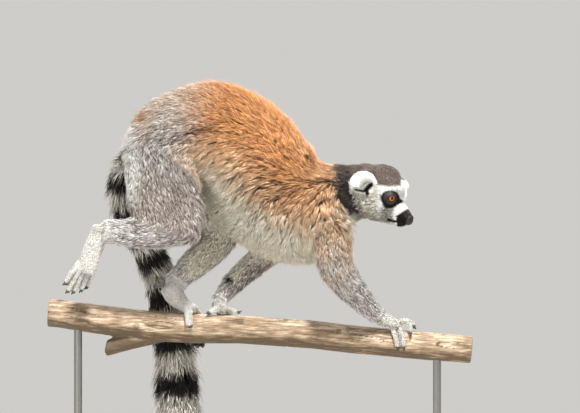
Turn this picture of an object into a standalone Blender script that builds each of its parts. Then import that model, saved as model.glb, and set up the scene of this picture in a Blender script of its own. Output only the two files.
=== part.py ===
"""Ring-tailed lemur, life size, walking along a cut branch that two rods carry over a flat base.

Run with: blender --background --python part.py

Metres, +Z up. The lemur faces +X, so its right side faces -Y. The origin is on the floor, under the
middle of the base. The body tables are in millimetres, measured from the point LIFT above the origin,
where the branch's axis passes. Each row of a table is a cross-section:
    (x, y, z, tall, wide)
with its centre, its half size in the plane of the body's side view and its half size across it.
"""

import math

import bmesh
import bpy
from mathutils import Matrix, Vector

MM = 0.001
SIDES = ((1, "left"), (-1, "right"))

# Driving sizes, in millimetres
LIFT = 400.0  # branch axis above the floor, so that the hanging tail clears the base
GAP = 0.3  # between neighbouring pieces
BASE_LENGTH, BASE_WIDTH, BASE_THICKNESS = 560.0, 300.0, 20.0
BASE_CORNER, BASE_EDGE = 30.0, 3.0
ROD_RADIUS, ROD_SEAT = 5.0, 11.0  # a rod sits this deep in the branch and in the base
ROD_X = (-222.0, 216.0)
EYE_RADIUS = 8.0
TOE_RADIUS, THUMB_RADIUS, BIG_TOE_RADIUS = 3.1, 3.6, 5.0

# Mesh sizes
RING_SIDES = 24
STEPS_PER_SECTION = 4
CAP_STEPS = 4
CAP_REACH = 0.45  # how far a rounded end goes past its last section, as a share of the section's radius
MASS_VOXEL, MASS_SMOOTHING = 3.5, 14  # trunk, limbs and tail, blended into one
FORM_VOXEL, FORM_SMOOTHING = 1.8, 3  # the same with face, hands and feet added
FLESH_TRIANGLES = 4150

TRUNK = [
    (-151, 0, 206, 20, 24),
    (-139, 0, 222, 29, 42),
    (-113, 0, 243, 43, 50),
    (-70, 0, 241, 65.5, 56),
    (-27, 0, 219, 71.5, 59),
    (9, 0, 174, 74, 58),
    (49, 0, 148, 68, 54),
    (79, 0, 150, 56, 46),
]
NECK = [
    (49, 0, 165, 49, 44),
    (82, 0, 164, 39, 37),
    (101, 0, 166, 38, 32),
    (120, 0, 171, 34, 29),
]
RIGHT_THIGH = [
    (-120, -26, 248, 37, 22),
    (-120, -34, 221, 45, 26),
    (-117, -40, 190, 46, 27),
    (-115, -44, 160, 44, 24),
    (-100, -48, 141, 39, 21),
    (-88, -50, 124, 28, 18),
]
RIGHT_SHANK = [
    (-82, -50, 131, 26, 18),
    (-122, -50, 122, 22.5, 17),
    (-152, -49, 120, 19, 15),
    (-177, -47, 121, 16.5, 12.5),
    (-190, -46, 122, 13.5, 11),
]
RIGHT_FOOT = [
    (-190, -46, 124, 12, 10.5),
    (-199, -46, 105, 11.5, 9),
    (-206, -47, 87, 12, 8),
    (-211, -48, 75, 13, 6.5),
]
LEFT_THIGH = [
    (-120, 26, 243, 37, 22),
    (-110, 36, 215, 43, 26),
    (-89, 44, 184, 40, 25),
    (-68, 50, 154, 32, 21),
    (-49, 52, 130, 24, 18),
    (-44, 52, 119, 20, 16),
]
LEFT_SHANK = [
    (-44, 52, 117, 20, 16),
    (-58, 43, 101, 21, 15),
    (-78, 30, 84, 20, 13),
    (-97, 18, 66, 16, 11),
    (-108, 11, 54, 13.5, 10),
]
LEFT_FOOT = [
    (-111, 9, 53, 12, 10),
    (-104, 6, 42, 12, 10),
    (-93, 2, 32, 9, 11.5),
    (-81, -1, 26, 6.5, 11),
]
RIGHT_UPPER_ARM = [
    (68, -30, 172, 32, 22),
    (77, -38, 148, 28, 21),
    (87, -46, 117, 25, 19),
    (89, -50, 93, 24, 18),
    (90, -50, 80, 22, 17),
]
RIGHT_FOREARM = [
    (90, -50, 80, 22, 16),
    (104, -42, 61, 20.5, 15),
    (120, -32, 42, 17, 13),
    (134, -22, 27, 13.5, 11),
    (145, -14, 18, 10.5, 9.5),
]
RIGHT_PALM = [
    (146, -13, 17, 9.5, 10),
    (156, -11, 12, 8.5, 12),
    (166, -11, 7, 7, 11),
]
LEFT_UPPER_ARM = [
    (49, 30, 160, 32, 22),
    (34, 42, 133, 26, 20),
    (21, 50, 108, 20, 17),
    (12, 50, 98, 18, 16),
]
LEFT_FOREARM = [
    (11, 50, 97, 18, 15),
    (-8, 40, 80, 17, 14),
    (-29, 26, 62, 15.5, 12),
    (-44, 12, 45, 12, 10),
    (-51, 5, 37, 10, 9),
]
LEFT_PALM = [
    (-51, 5, 36, 9, 9.5),
    (-47, 2, 28, 8.5, 11),
    (-43, 0, 25, 6.5, 10),
]
TAIL = [
    (-154, 0, 217, 14, 14),
    (-165, 0, 205, 13.5, 13.5),
    (-170, 3, 184, 13.5, 13.5),
    (-167, 9, 158, 14.5, 14.5),
    (-157, 20, 132, 16, 16),
    (-143, 34, 107, 17.5, 17.5),
    (-131, 46, 80, 18.5, 18.5),
    (-121, 53, 52, 19.5, 19.5),
    (-114, 55, 19, 21, 21),
    (-107, 54, -17, 23, 23),
    (-104, 51, -60, 24.5, 24.5),
    (-101, 47, -109, 25, 25),
    (-95, 43, -170, 24.5, 24.5),
    (-85, 39, -230, 23, 23),
    (-70, 36, -282, 20.5, 20.5),
    (-46, 34, -318, 16, 16),
    (-22, 32, -335, 8, 8),
]
BRANCH = [
    (-258, 0, 22, 16.8, 16.8),
    (-244, 0, 21, 17, 17),
    (-195, 0, 14, 17.8, 17.8),
    (-134, 0, 6, 18.5, 18.5),
    (-73, 0, 2.4, 17.8, 17.8),
    (-24, 0, 1.8, 17, 17),
    (61, 0, -4, 17.3, 17.3),
    (122, 0, -11, 17, 17),
    (171, 0, -15.6, 17, 17),
    (207, 0, -18.5, 17, 17),
    (258, 0, -23, 16.8, 16.8),
]
STUB = [(-116, 0, 0, 13, 13), (-160, 0, -12, 11.5, 11.5), (-190, 0, -22.5, 9, 9)]
STUB_CUT = ((-189, 0, -22), (-0.98, 0, 0.2))  # a point on the stub's sawn end, and its normal

# The digits that lie on the bark: (x along the branch, degrees round it from the top towards the
# lemur's right, height over the bark), from the root of the digit to its tip.
LEFT_TOES = {
    1: [(-88, 10, 9), (-87, 38, 7), (-86, 62, 6), (-85, 82, 5.4)],
    2: [(-79, -14, 8), (-72, -50, 4.6), (-69, -95, 4), (-69, -140, 3.8), (-70, -172, 3.6)],
    3: [(-83, -18, 8), (-77, -55, 4.6), (-75, -100, 4), (-75, -145, 3.8), (-76, -176, 3.6)],
    4: [(-88, -20, 8), (-84, -55, 4.6), (-82, -100, 4), (-82, -145, 3.8), (-83, -176, 3.6)],
    5: [(-93, -22, 8), (-91, -55, 4.6), (-90, -95, 4), (-90, -130, 3.8), (-90, -158, 3.6)],
}
RIGHT_FINGERS = {
    1: [(152, -22, 7), (154, -48, 5), (157, -75, 4.2), (159, -94, 4)],
    2: [(168, 0, 8), (178, -2, 12), (186, 6, 10.5), (188.5, 15, 3.9)],
    3: [(168, 10, 8.5), (178, 16, 13), (183, 34, 10.5), (183, 54, 4)],
    4: [(167, 20, 7.5), (171, 48, 6), (174, 78, 4.6), (175, 105, 4)],
    5: [(160, 24, 7), (163, 54, 5.5), (166, 82, 4.4), (167.5, 107, 4)],
}
LEFT_FINGERS = {
    1: [(-52, 10, 7.5), (-59, 18, 5.4), (-64, 28, 4)],
    2: [(-44, 6, 8.5), (-37, 4, 7), (-29, 4, 4.4), (-24, 5, 3.9)],
    3: [(-44, -12, 8), (-37, -34, 5.4), (-33, -58, 4.2), (-31, -80, 3.9)],
    4: [(-47, -18, 7.5), (-42, -48, 5), (-39, -78, 4.2), (-38, -104, 3.9)],
    5: [(-51, -20, 7), (-50, -50, 4.8), (-48, -78, 4.2), (-47, -98, 3.9)],
}
# The lifted right foot's toes hang free: (x, y, z) from root to tip, the fourth the longest.
RIGHT_TOES = {
    1: [(-198, -42, 84), (-203, -41, 68), (-210, -38, 53)],
    2: [(-206, -45, 76), (-211, -44, 61), (-216, -41, 49)],
    3: [(-211, -47, 75), (-219, -47, 60), (-225, -44, 47)],
    4: [(-216, -49, 76), (-225, -50, 61), (-232, -48, 48)],
    5: [(-219, -51, 82), (-228, -53, 70), (-235, -52, 58)],
}

# The head in its own axes: x forward, y to the lemur's left, z up, from HEAD_CENTRE.
HEAD_CENTRE = (132, 0, 174)
HEAD_YAW = -12.0  # degrees, towards the lemur's right
# (x, y, z) centre and (x, y, z) half sizes of the rounded masses; a y that isn't 0 is made on both sides
HEAD_MASSES = [
    ((0, 0, 1), (31, 27, 30)),  # braincase
    ((17, 0, 9.5), (24.5, 21, 20.5)),  # forehead
    ((25, 0, -8), (22.5, 20, 21)),  # face
    ((36, 11, 2.5), (12.5, 11, 11)),  # brow over each eye
    ((4, 15, -20), (21, 14, 17)),  # cheek ruff
]
MUZZLE = [
    (22, 0, -16, 18, 18),
    (32, 0, -24, 14.5, 13),
    (41, 0, -31.5, 11.5, 10),
    (49, 0, -37, 8, 8),
]
JAW = [(8, 0, -28, 12, 14), (24, 0, -34, 9, 12), (38, 0, -40.5, 6.5, 8), (46, 0, -42, 4.5, 5.5)]
NOSE_CENTRE, NOSE_SIZE = (52.5, 0, -38), (4.6, 5.6, 5.2)
EYE_CENTRE = (29, 14.5, -11)
EAR_CENTRE, EAR_SIZE = (-1, 29, 4), (17, 6.5, 16.5)
EAR_TURN, EAR_LEAN = 22.0, 14.0  # degrees: to the front, and outwards at the top
EAR_HOLLOW_SHIFT, EAR_HOLLOW_SIZE = (4, 5.5, -2), (10.5, 6, 10.5)

# Thin cuts: (point, direction through the cut, half size along the body's length, half size across).
# Round ones go through a part that stands free, square ones where a limb leaves the trunk.
ROUND_CUTS = {
    "head_neck": ((118, 0, 168), (0.987, 0, 0.16), 44, 40),
    "neck_chest": ((101, 0, 165), (0.96, 0, 0.28), 50, 54),
    "chest_loin": ((14, 0, 170), (0.79, 0, -0.61), 84, 68),
    "right_knee": ((-116, -49, 133), (-0.22, 0, -0.975), 52, 27),
    "left_knee": ((-58, 51, 122), (-0.04, -0.18, -0.98), 40, 26),
    "right_ankle": ((-184, -46.5, 121), (-0.985, 0, 0.17), 23, 18),
    "left_ankle": ((-99, 15, 61), (-0.6, -0.35, -0.7), 25, 18),
    "right_elbow": ((90, -50, 79), (0.31, 0.16, -0.94), 31, 24),
    "left_elbow": ((9, 50, 94), (-0.62, -0.04, -0.78), 25, 22),
    "right_wrist": ((141, -17, 21), (0.66, 0.35, -0.66), 18, 16),
    "left_wrist": ((-48, 8, 41), (-0.5, -0.45, -0.74), 18, 15),
    "tail_root": ((-167, 1, 199), (-0.35, 0.1, -0.93), 20, 20),
    "tail_upper": ((-143, 34, 107), (0.45, 0.42, -0.79), 24, 24),
    "tail_middle": ((-107, 54, -17), (0.13, -0.05, -0.99), 28, 27),
    "tail_lower": ((-95, 43, -170), (0.13, -0.06, -0.99), 30, 30),
}
SQUARE_CUTS = {
    "right_hip": ((-118, -38, 198), (-0.6, -1.2, -1), 57, 36),
    "left_hip": ((-81, 46, 172), (-0.6, 1.2, -1), 82, 33),
    "right_shoulder": ((87, -46, 117), (0.3, -1.2, -1), 31, 28),
    "left_shoulder": ((26, 46, 117), (-0.3, 1.2, -1), 31, 34),
}
# A point well inside each piece that the cuts leave, which gives the piece its name
SEEDS = {
    "head": (145, 0, 165),
    "neck": (108, 0, 166),
    "chest": (50, 0, 150),
    "trunk": (-70, 0, 235),
    "thigh_right": (-115, -44, 160),
    "thigh_left": (-75, 48, 160),
    "shank_right": (-150, -49, 118),
    "shank_left": (-70, 34, 88),
    "foot_right": (-203, -46, 95),
    "foot_left": (-95, 4, 40),
    "upper_arm_right": (89, -50, 95),
    "upper_arm_left": (17, 50, 104),
    "forearm_right": (115, -36, 47),
    "forearm_left": (-20, 32, 67),
    "hand_right": (156, -12, 12),
    "hand_left": (-48, 2, 29),
    "tail_1": (-165, 12, 150),
    "tail_2": (-121, 53, 52),
    "tail_3": (-102, 48, -95),
    "tail_4": (-82, 38, -240),
}

# Plain colours (sRGB) and finishes of the materials: hex colour, roughness, metallic
FINISHES = {
    "grey_fur": ("A8998E", 0.9, 0.0),
    "rufous_fur": ("C08A60", 0.9, 0.0),
    "white_fur": ("E6E4DC", 0.9, 0.0),
    "head_fur": ("8E847C", 0.9, 0.0),
    "nape_fur": ("5A514B", 0.9, 0.0),
    "tail_fur": ("4A4844", 0.9, 0.0),
    "black_skin": ("1B1918", 0.55, 0.0),
    "amber_eye": ("C8641A", 0.08, 0.0),
    "bare_wood": ("B59A78", 0.8, 0.0),
    "stand_wood": ("3A2C22", 0.5, 0.0),
    "stand_steel": ("8C8C8C", 0.35, 1.0),
}
PIECE_FINISH = {
    "head": "head_fur",
    "neck": "nape_fur",
    "chest": "rufous_fur",
    "trunk": "rufous_fur",
    "tail": "tail_fur",
    "ear": "white_fur",
    "foot": "white_fur",
    "hand": "white_fur",
    "nose": "black_skin",
    "eye": "amber_eye",
    "branch": "bare_wood",
    "stand_base": "stand_wood",
    "stand_rod": "stand_steel",
}


def linear(channel):
    """One sRGB channel, 0 to 1, as linear light."""
    return channel / 12.92 if channel <= 0.04045 else ((channel + 0.055) / 1.055) ** 2.4


def make_materials():
    made = {}
    for name, (colour, roughness, metallic) in FINISHES.items():
        material = bpy.data.materials.new(name)
        material.use_nodes = True
        shader = material.node_tree.nodes["Principled BSDF"]
        rgb = [linear(int(colour[i : i + 2], 16) / 255) for i in (0, 2, 4)]
        shader.inputs["Base Color"].default_value = (*rgb, 1)
        shader.inputs["Roughness"].default_value = roughness
        shader.inputs["Metallic"].default_value = metallic
        made[name] = material
    return made


def finish_of(piece):
    """The finish whose name part starts the piece's name, or grey fur."""
    for start, finish in PIECE_FINISH.items():
        if piece.startswith(start):
            return finish
    return "grey_fur"


def place(x, y, z):
    """A point of the body tables, in metres in the part's frame."""
    return Vector((x, y, z + LIFT)) * MM


def head_frame():
    turn = Matrix.Rotation(math.radians(HEAD_YAW), 4, "Z")
    return Matrix.Translation(place(*HEAD_CENTRE)) @ turn @ Matrix.Scale(MM, 4)


def body_frame():
    return Matrix.Translation((0, 0, LIFT * MM)) @ Matrix.Scale(MM, 4)


def smooth_rows(rows, steps=STEPS_PER_SECTION):
    """The rows with more between them, on a curve that passes through each one."""
    points = [Vector(r) for r in rows]
    made = []
    for i in range(len(points) - 1):
        p1, p2 = points[i], points[i + 1]
        p0 = points[i - 1] if i else p1 * 2 - p2
        p3 = points[i + 2] if i + 2 < len(points) else p2 * 2 - p1
        for k in range(steps):
            t = k / steps
            bend = (p0 * 2 - p1 * 5 + p2 * 4 - p3) * t * t + (p1 * 3 - p0 - p2 * 3 + p3) * t**3
            made.append((p1 * 2 + (p2 - p0) * t + bend) / 2)
    return [*made, points[-1]]


def new_object(name, mesh):
    made = bpy.data.objects.new(name, mesh)
    bpy.context.scene.collection.objects.link(made)
    return made


def mesh_object(name, shape):
    mesh = bpy.data.meshes.new(name)
    bmesh.ops.recalc_face_normals(shape, faces=shape.faces)
    shape.to_mesh(mesh)
    shape.free()
    return new_object(name, mesh)


def loft(name, rows, frame, sides=RING_SIDES, round_ends=True, steps=STEPS_PER_SECTION):
    """A closed tube through the cross-sections, with rounded or flat ends."""
    rows = smooth_rows(rows, steps)
    rings = []
    for i, row in enumerate(rows):
        along = (rows[min(i + 1, len(rows) - 1)].xyz - rows[max(i - 1, 0)].xyz).normalized()
        rings.append((row.xyz, along, row[3], row[4]))
    if round_ends:
        rings = cap_rings(rings[0], -1) + rings[1:-1] + cap_rings(rings[-1], 1)
    shape = bmesh.new()
    loops = [ring_loop(shape, ring, sides, frame) for ring in rings]
    for low, high in zip(loops, loops[1:]):
        for i in range(sides):
            j = (i + 1) % sides
            shape.faces.new((low[i], low[j], high[j], high[i]))
    shape.faces.new(loops[0])
    shape.faces.new(loops[-1])
    return mesh_object(name, shape)


def cap_rings(ring, way):
    """The end ring and the shrinking ones that round it off, in order along the tube."""
    centre, along, tall, wide = ring
    reach = min(tall, wide) * CAP_REACH
    made = []
    for k in range(CAP_STEPS + 1):
        angle = math.radians(84) * k / CAP_STEPS
        shrink = math.cos(angle)
        made.append((centre + along * way * reach * math.sin(angle), along, tall * shrink, wide * shrink))
    return made if way > 0 else made[::-1]


def ring_loop(shape, ring, sides, frame):
    """The vertices of one cross-section, from its top round towards the lemur's left."""
    centre, along, tall, wide = ring
    across = Vector((0, 1, 0))
    across = (across - along * across.dot(along)).normalized()
    up = along.cross(across)
    made = []
    for i in range(sides):
        turn = math.tau * i / sides
        offset = up * tall * math.cos(turn) + across * wide * math.sin(turn)
        made.append(shape.verts.new(frame @ (centre + offset)))
    return made


def ellipsoid(name, centre, size, frame, turn=None, detail=24):
    """A rounded mass with these half sizes."""
    shape = bmesh.new()
    bmesh.ops.create_uvsphere(shape, u_segments=detail, v_segments=detail // 2, radius=1)
    spread = Matrix.Diagonal((*size, 1))
    bmesh.ops.transform(
        shape, matrix=frame @ Matrix.Translation(centre) @ (turn or Matrix()) @ spread, verts=shape.verts
    )
    return mesh_object(name, shape)


def branch_row(x):
    """The branch's cross-section at x."""
    for a, b in zip(BRANCH, BRANCH[1:]):
        if a[0] <= x <= b[0]:
            return Vector(a).lerp(Vector(b), (x - a[0]) / (b[0] - a[0]))
    raise ValueError(f"the branch doesn't reach x = {x}")


def on_bark(x, degrees, height):
    """A point over the bark, in the body tables' axes."""
    row = branch_row(x)
    turn = math.radians(degrees)
    reach = row[3] + height
    return (x, -reach * math.sin(turn), row[2] + reach * math.cos(turn))


def digit(name, points, radius):
    """A finger or toe that thins from its root to a rounded pad."""
    last = len(points) - 1
    rows = []
    for i, point in enumerate(points):
        share = radius * (1.18 - 0.26 * i / last)
        rows.append((*point, share, share))
    return loft(name, rows, body_frame(), sides=12)


def digits(side, kind, table, on_branch):
    """The toes or fingers of one side. The first is thicker, most of all the big toe that grips the branch."""
    made = []
    for number, points in table.items():
        radius = THUMB_RADIUS if number == 1 else TOE_RADIUS
        if number == 1 and kind == "toe" and on_branch:
            radius = BIG_TOE_RADIUS
        where = [on_bark(*p) for p in points] if on_branch else points
        made.append(digit(f"{kind}_{side}_{number}", where, radius))
    return made


def both_sides(centre):
    """The centre, and its mirror image if it isn't on the middle plane."""
    x, y, z = centre
    return [(x, y * side, z) for side, _ in SIDES] if y else [centre]


def evaluated_mesh(thing):
    graph = bpy.context.evaluated_depsgraph_get()
    return bpy.data.meshes.new_from_object(thing.evaluated_get(graph))


def apply_modifiers(thing):
    old = thing.data
    made = evaluated_mesh(thing)
    thing.modifiers.clear()
    thing.data = made
    bpy.data.meshes.remove(old)
    return thing


def joined(name, things):
    """The things' meshes as one object, with the things removed."""
    shape = bmesh.new()
    for thing in things:
        shape.from_mesh(thing.data)
        bpy.data.objects.remove(thing)
    mesh = bpy.data.meshes.new(name)
    shape.to_mesh(mesh)
    shape.free()
    return new_object(name, mesh)


def blended(name, things, voxel, smoothing):
    """The things as one closed skin, with the creases between them eased."""
    made = joined(name, things)
    remesh = made.modifiers.new("one_skin", "REMESH")
    remesh.mode = "VOXEL"
    remesh.voxel_size = voxel * MM
    ease = made.modifiers.new("ease", "SMOOTH")
    ease.factor = 0.5
    ease.iterations = smoothing
    return apply_modifiers(made)


def with_boolean(thing, cutter, operation="DIFFERENCE"):
    modifier = thing.modifiers.new("boolean", "BOOLEAN")
    modifier.operation = operation
    modifier.solver = "EXACT"
    modifier.object = cutter
    return apply_modifiers(thing)


def swollen(thing, by=GAP):
    """A copy of the thing, bigger all round, to cut its seat with."""
    made = new_object(f"{thing.name}_seat", thing.data.copy())
    shape = bmesh.new()
    shape.from_mesh(made.data)
    shape.normal_update()
    moves = [(v, v.normal * by * MM) for v in shape.verts]
    for v, move in moves:
        v.co += move
    shape.to_mesh(made.data)
    shape.free()
    return made


def seat_in(things, piece):
    """Cuts room for the piece, with the gap, out of each of the things."""
    cutter = swollen(piece)
    for thing in things:
        with_boolean(thing, cutter)
        without_crumbs(thing)
    bpy.data.objects.remove(cutter)


def thin_cut(name, point, direction, half_long, half_across, sides):
    """A round or square plate as thick as the gap, its first half size nearest the body's side view."""
    normal = Vector(direction).normalized()
    across = Vector((0, 1, 0))
    long = across.cross(normal).normalized()
    across = normal.cross(long)
    turn = Matrix((long, across, normal)).transposed().to_4x4()
    corner = math.pi / sides
    spin = Matrix.Scale(1 / math.cos(corner), 4) @ Matrix.Rotation(corner, 4, "Z")
    spread = Matrix.Diagonal((half_long, half_across, GAP * math.cos(corner), 1))
    shape = bmesh.new()
    bmesh.ops.create_cone(shape, cap_ends=True, segments=sides, radius1=1, radius2=1, depth=1)
    place_plate = body_frame() @ Matrix.Translation(point) @ turn @ spread @ spin
    bmesh.ops.transform(shape, matrix=place_plate, verts=shape.verts)
    return mesh_object(f"cut_{name}", shape)


def islands(shape):
    """The vertices of each separate body of the mesh."""
    waiting = set(shape.verts)
    made = []
    for start in shape.verts:
        if start not in waiting:
            continue
        waiting.discard(start)
        found, edge = [], [start]
        while edge:
            v = edge.pop()
            found.append(v)
            for link in v.link_edges:
                other = link.other_vert(v)
                if other in waiting:
                    waiting.discard(other)
                    edge.append(other)
        made.append(sorted(found, key=lambda v: v.index))
    return made


def without_crumbs(thing):
    """Keeps only the body with the most vertices."""
    shape = bmesh.new()
    shape.from_mesh(thing.data)
    shape.verts.index_update()
    bodies = sorted(islands(shape), key=len)
    bmesh.ops.delete(shape, geom=[v for body in bodies[:-1] for v in body], context="VERTS")
    shape.to_mesh(thing.data)
    shape.free()


def loose_pieces(thing):
    """The thing's separate bodies as objects, with the thing removed."""
    shape = bmesh.new()
    shape.from_mesh(thing.data)
    shape.verts.index_update()
    shape.faces.index_update()
    made = []
    for body in islands(shape):
        piece = bmesh.new()
        copies = {v: piece.verts.new(v.co) for v in body}
        for face in sorted({f for v in body for f in v.link_faces}, key=lambda f: f.index):
            piece.faces.new([copies[v] for v in face.verts])
        made.append(mesh_object(f"{thing.name}_piece", piece))
    shape.free()
    bpy.data.objects.remove(thing)
    return made


def holds(thing, point):
    """Whether the point is inside the closed thing, by counting the surfaces above it."""
    way, step = Vector((0.02, 0.03, 1)).normalized(), 1e-6
    crossings = 0
    hit, where, _, _ = thing.ray_cast(point, way)
    while hit:
        crossings += 1
        hit, where, _, _ = thing.ray_cast(where + way * step, way)
    return crossings % 2 == 1


def named_pieces(things):
    """Each thing renamed after the seed inside it. Crumbs without one are removed."""
    made = {}
    for name, point in SEEDS.items():
        owner = next((t for t in things if holds(t, place(*point))), None)
        if owner is None or owner in made.values():
            raise RuntimeError(f"the seed of {name} isn't in a piece of its own")
        made[name] = owner
    for thing in things:
        if thing not in made.values():
            bpy.data.objects.remove(thing)
    for name, thing in made.items():
        thing.name = name
    return made


def make_branch():
    trunk = loft("branch", BRANCH, body_frame(), sides=20, round_ends=False, steps=1)
    stub = loft("stub", STUB, body_frame(), sides=12, round_ends=False, steps=2)
    point, normal = STUB_CUT
    shape = bmesh.new()
    shape.from_mesh(stub.data)
    sliced = bmesh.ops.bisect_plane(
        shape,
        geom=[*shape.verts, *shape.edges, *shape.faces],
        plane_co=place(*point),
        plane_no=normal,
        clear_outer=True,
    )
    rim = [e for e in sliced["geom_cut"] if isinstance(e, bmesh.types.BMEdge)]
    bmesh.ops.edgenet_fill(shape, edges=rim)
    bmesh.ops.recalc_face_normals(shape, faces=shape.faces)
    shape.to_mesh(stub.data)
    shape.free()
    with_boolean(trunk, stub, "UNION")
    bpy.data.objects.remove(stub)
    return trunk


def make_rod(name, x, bottom, top):
    shape = bmesh.new()
    radius, height = ROD_RADIUS * MM, (top - bottom) * MM
    bmesh.ops.create_cone(
        shape, cap_ends=True, segments=16, radius1=radius, radius2=radius, depth=height
    )
    bmesh.ops.translate(shape, vec=Vector((x, 0, (top + bottom) / 2)) * MM, verts=shape.verts)
    return mesh_object(name, shape)


def make_base():
    """A flat board with round corners and an eased edge."""
    outline = []
    for cx, cy, start in ((1, 1, 0), (-1, 1, 90), (-1, -1, 180), (1, -1, 270)):
        for k in range(5):
            turn = math.radians(start + 22.5 * k)
            x = cx * (BASE_LENGTH / 2 - BASE_CORNER) + BASE_CORNER * math.cos(turn)
            y = cy * (BASE_WIDTH / 2 - BASE_CORNER) + BASE_CORNER * math.sin(turn)
            outline.append(Vector((x, y, 0)) * MM)
    shape = bmesh.new()
    face = shape.faces.new([shape.verts.new(p) for p in outline])
    grown = bmesh.ops.extrude_face_region(shape, geom=[face])
    top = [v for v in grown["geom"] if isinstance(v, bmesh.types.BMVert)]
    bmesh.ops.translate(shape, vec=(0, 0, BASE_THICKNESS * MM), verts=top)
    rim = [e for e in shape.edges if all(v in top for v in e.verts)]
    bmesh.ops.bevel(shape, geom=rim, offset=BASE_EDGE * MM, segments=1, affect="EDGES")
    return mesh_object("stand_base", shape)


def make_stand(branch):
    base = make_base()
    pieces = [base]
    for number, x in enumerate(ROD_X, 1):
        row = branch_row(x)
        top = LIFT + row[2] - row[3] + ROD_SEAT
        rod = make_rod(f"stand_rod_{number}", x, BASE_THICKNESS - ROD_SEAT, top)
        seat_in([base, branch], rod)
        pieces.append(rod)
    return pieces


def make_masses():
    """The big forms: trunk, neck, limbs, tail and braincase."""
    tables = {
        "trunk": TRUNK,
        "neck": NECK,
        "thigh_r": RIGHT_THIGH,
        "shank_r": RIGHT_SHANK,
        "thigh_l": LEFT_THIGH,
        "shank_l": LEFT_SHANK,
        "arm_r": RIGHT_UPPER_ARM,
        "forearm_r": RIGHT_FOREARM,
        "arm_l": LEFT_UPPER_ARM,
        "forearm_l": LEFT_FOREARM,
        "tail": TAIL,
    }
    things = [loft(name, rows, body_frame()) for name, rows in tables.items()]
    centre, size = HEAD_MASSES[0]
    things.append(ellipsoid("braincase", centre, size, head_frame()))
    return blended("masses", things, MASS_VOXEL, MASS_SMOOTHING)


def make_fine_forms():
    """Face, hands and feet."""
    things = [
        loft("foot_r", RIGHT_FOOT, body_frame()),
        loft("foot_l", LEFT_FOOT, body_frame()),
        loft("palm_r", RIGHT_PALM, body_frame()),
        loft("palm_l", LEFT_PALM, body_frame()),
        loft("muzzle", MUZZLE, head_frame()),
        loft("jaw", JAW, head_frame()),
    ]
    things += digits("right", "toe", RIGHT_TOES, on_branch=False)
    things += digits("left", "toe", LEFT_TOES, on_branch=True)
    things += digits("right", "finger", RIGHT_FINGERS, on_branch=True)
    things += digits("left", "finger", LEFT_FINGERS, on_branch=True)
    for centre, size in HEAD_MASSES[1:]:
        things += [ellipsoid("head_mass", c, size, head_frame()) for c in both_sides(centre)]
    return things


def make_eye(side, name):
    x, y, z = EYE_CENTRE
    return ellipsoid(name, (x, y * side, z), (EYE_RADIUS,) * 3, head_frame(), detail=12)


def make_ear(side, name):
    """A rounded cup that stands off the side of the head."""
    x, y, z = EAR_CENTRE
    turn = Matrix.Rotation(math.radians(-EAR_TURN * side), 4, "Z")
    lean = Matrix.Rotation(math.radians(-EAR_LEAN * side), 4, "X")
    frame = head_frame() @ Matrix.Translation((x, y * side, z)) @ turn @ lean
    ear = ellipsoid(name, (0, 0, 0), EAR_SIZE, frame, detail=16)
    shift = Vector(EAR_HOLLOW_SHIFT)
    shift.y *= side
    hollow = ellipsoid("hollow", shift, EAR_HOLLOW_SIZE, frame, detail=12)
    with_boolean(ear, hollow)
    bpy.data.objects.remove(hollow)
    return ear


def make_flesh():
    """The whole animal as one skin, thinned out, and parted with thin cuts."""
    things = [make_masses(), *make_fine_forms()]
    whole = blended("flesh", things, FORM_VOXEL, FORM_SMOOTHING)
    fewer = whole.modifiers.new("fewer", "DECIMATE")
    fewer.ratio = FLESH_TRIANGLES / (2 * len(whole.data.polygons))
    apply_modifiers(whole)
    for sides, cuts in ((40, ROUND_CUTS), (4, SQUARE_CUTS)):
        for name, cut in cuts.items():
            cutter = thin_cut(name, *cut, sides)
            with_boolean(whole, cutter)
            bpy.data.objects.remove(cutter)
    return named_pieces(loose_pieces(whole))


def finish_piece(thing, materials):
    thing.data.materials.clear()
    thing.data.materials.append(materials[finish_of(thing.name)])
    thing.data.shade_smooth()
    thing.data.set_sharp_from_angle(angle=math.radians(50))


def main():
    for thing in list(bpy.data.objects):
        bpy.data.objects.remove(thing)
    flesh = make_flesh()
    branch = make_branch()
    seat_in([flesh[n] for n in ("hand_right", "hand_left", "foot_left")], branch)
    eyes = [make_eye(side, f"eye_{name}") for side, name in SIDES]
    nose = ellipsoid("nose", NOSE_CENTRE, NOSE_SIZE, head_frame(), detail=12)
    for part in (*eyes, nose):
        seat_in([flesh["head"]], part)
    ears = [make_ear(side, f"ear_{name}") for side, name in SIDES]
    for ear in ears:
        seat_in([flesh["head"], flesh["neck"]], ear)
    stand = make_stand(branch)
    materials = make_materials()
    for thing in (*flesh.values(), branch, *eyes, nose, *ears, *stand):
        finish_piece(thing, materials)


main()
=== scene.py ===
"""Looks of the ring-tailed lemur on its cut branch: skin, coat, eyes, nose, nails, wood, stand and stage.

Metres, +Z up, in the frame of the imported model. The lemur faces +X and its right side faces -Y. The tables
that give places on the body are in millimetres from the point LIFT above the origin.
"""

import math

import bmesh
import bpy
import numpy as np
from mathutils import Matrix, Vector
from mathutils.bvhtree import BVHTree
from mathutils.kdtree import KDTree


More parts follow.
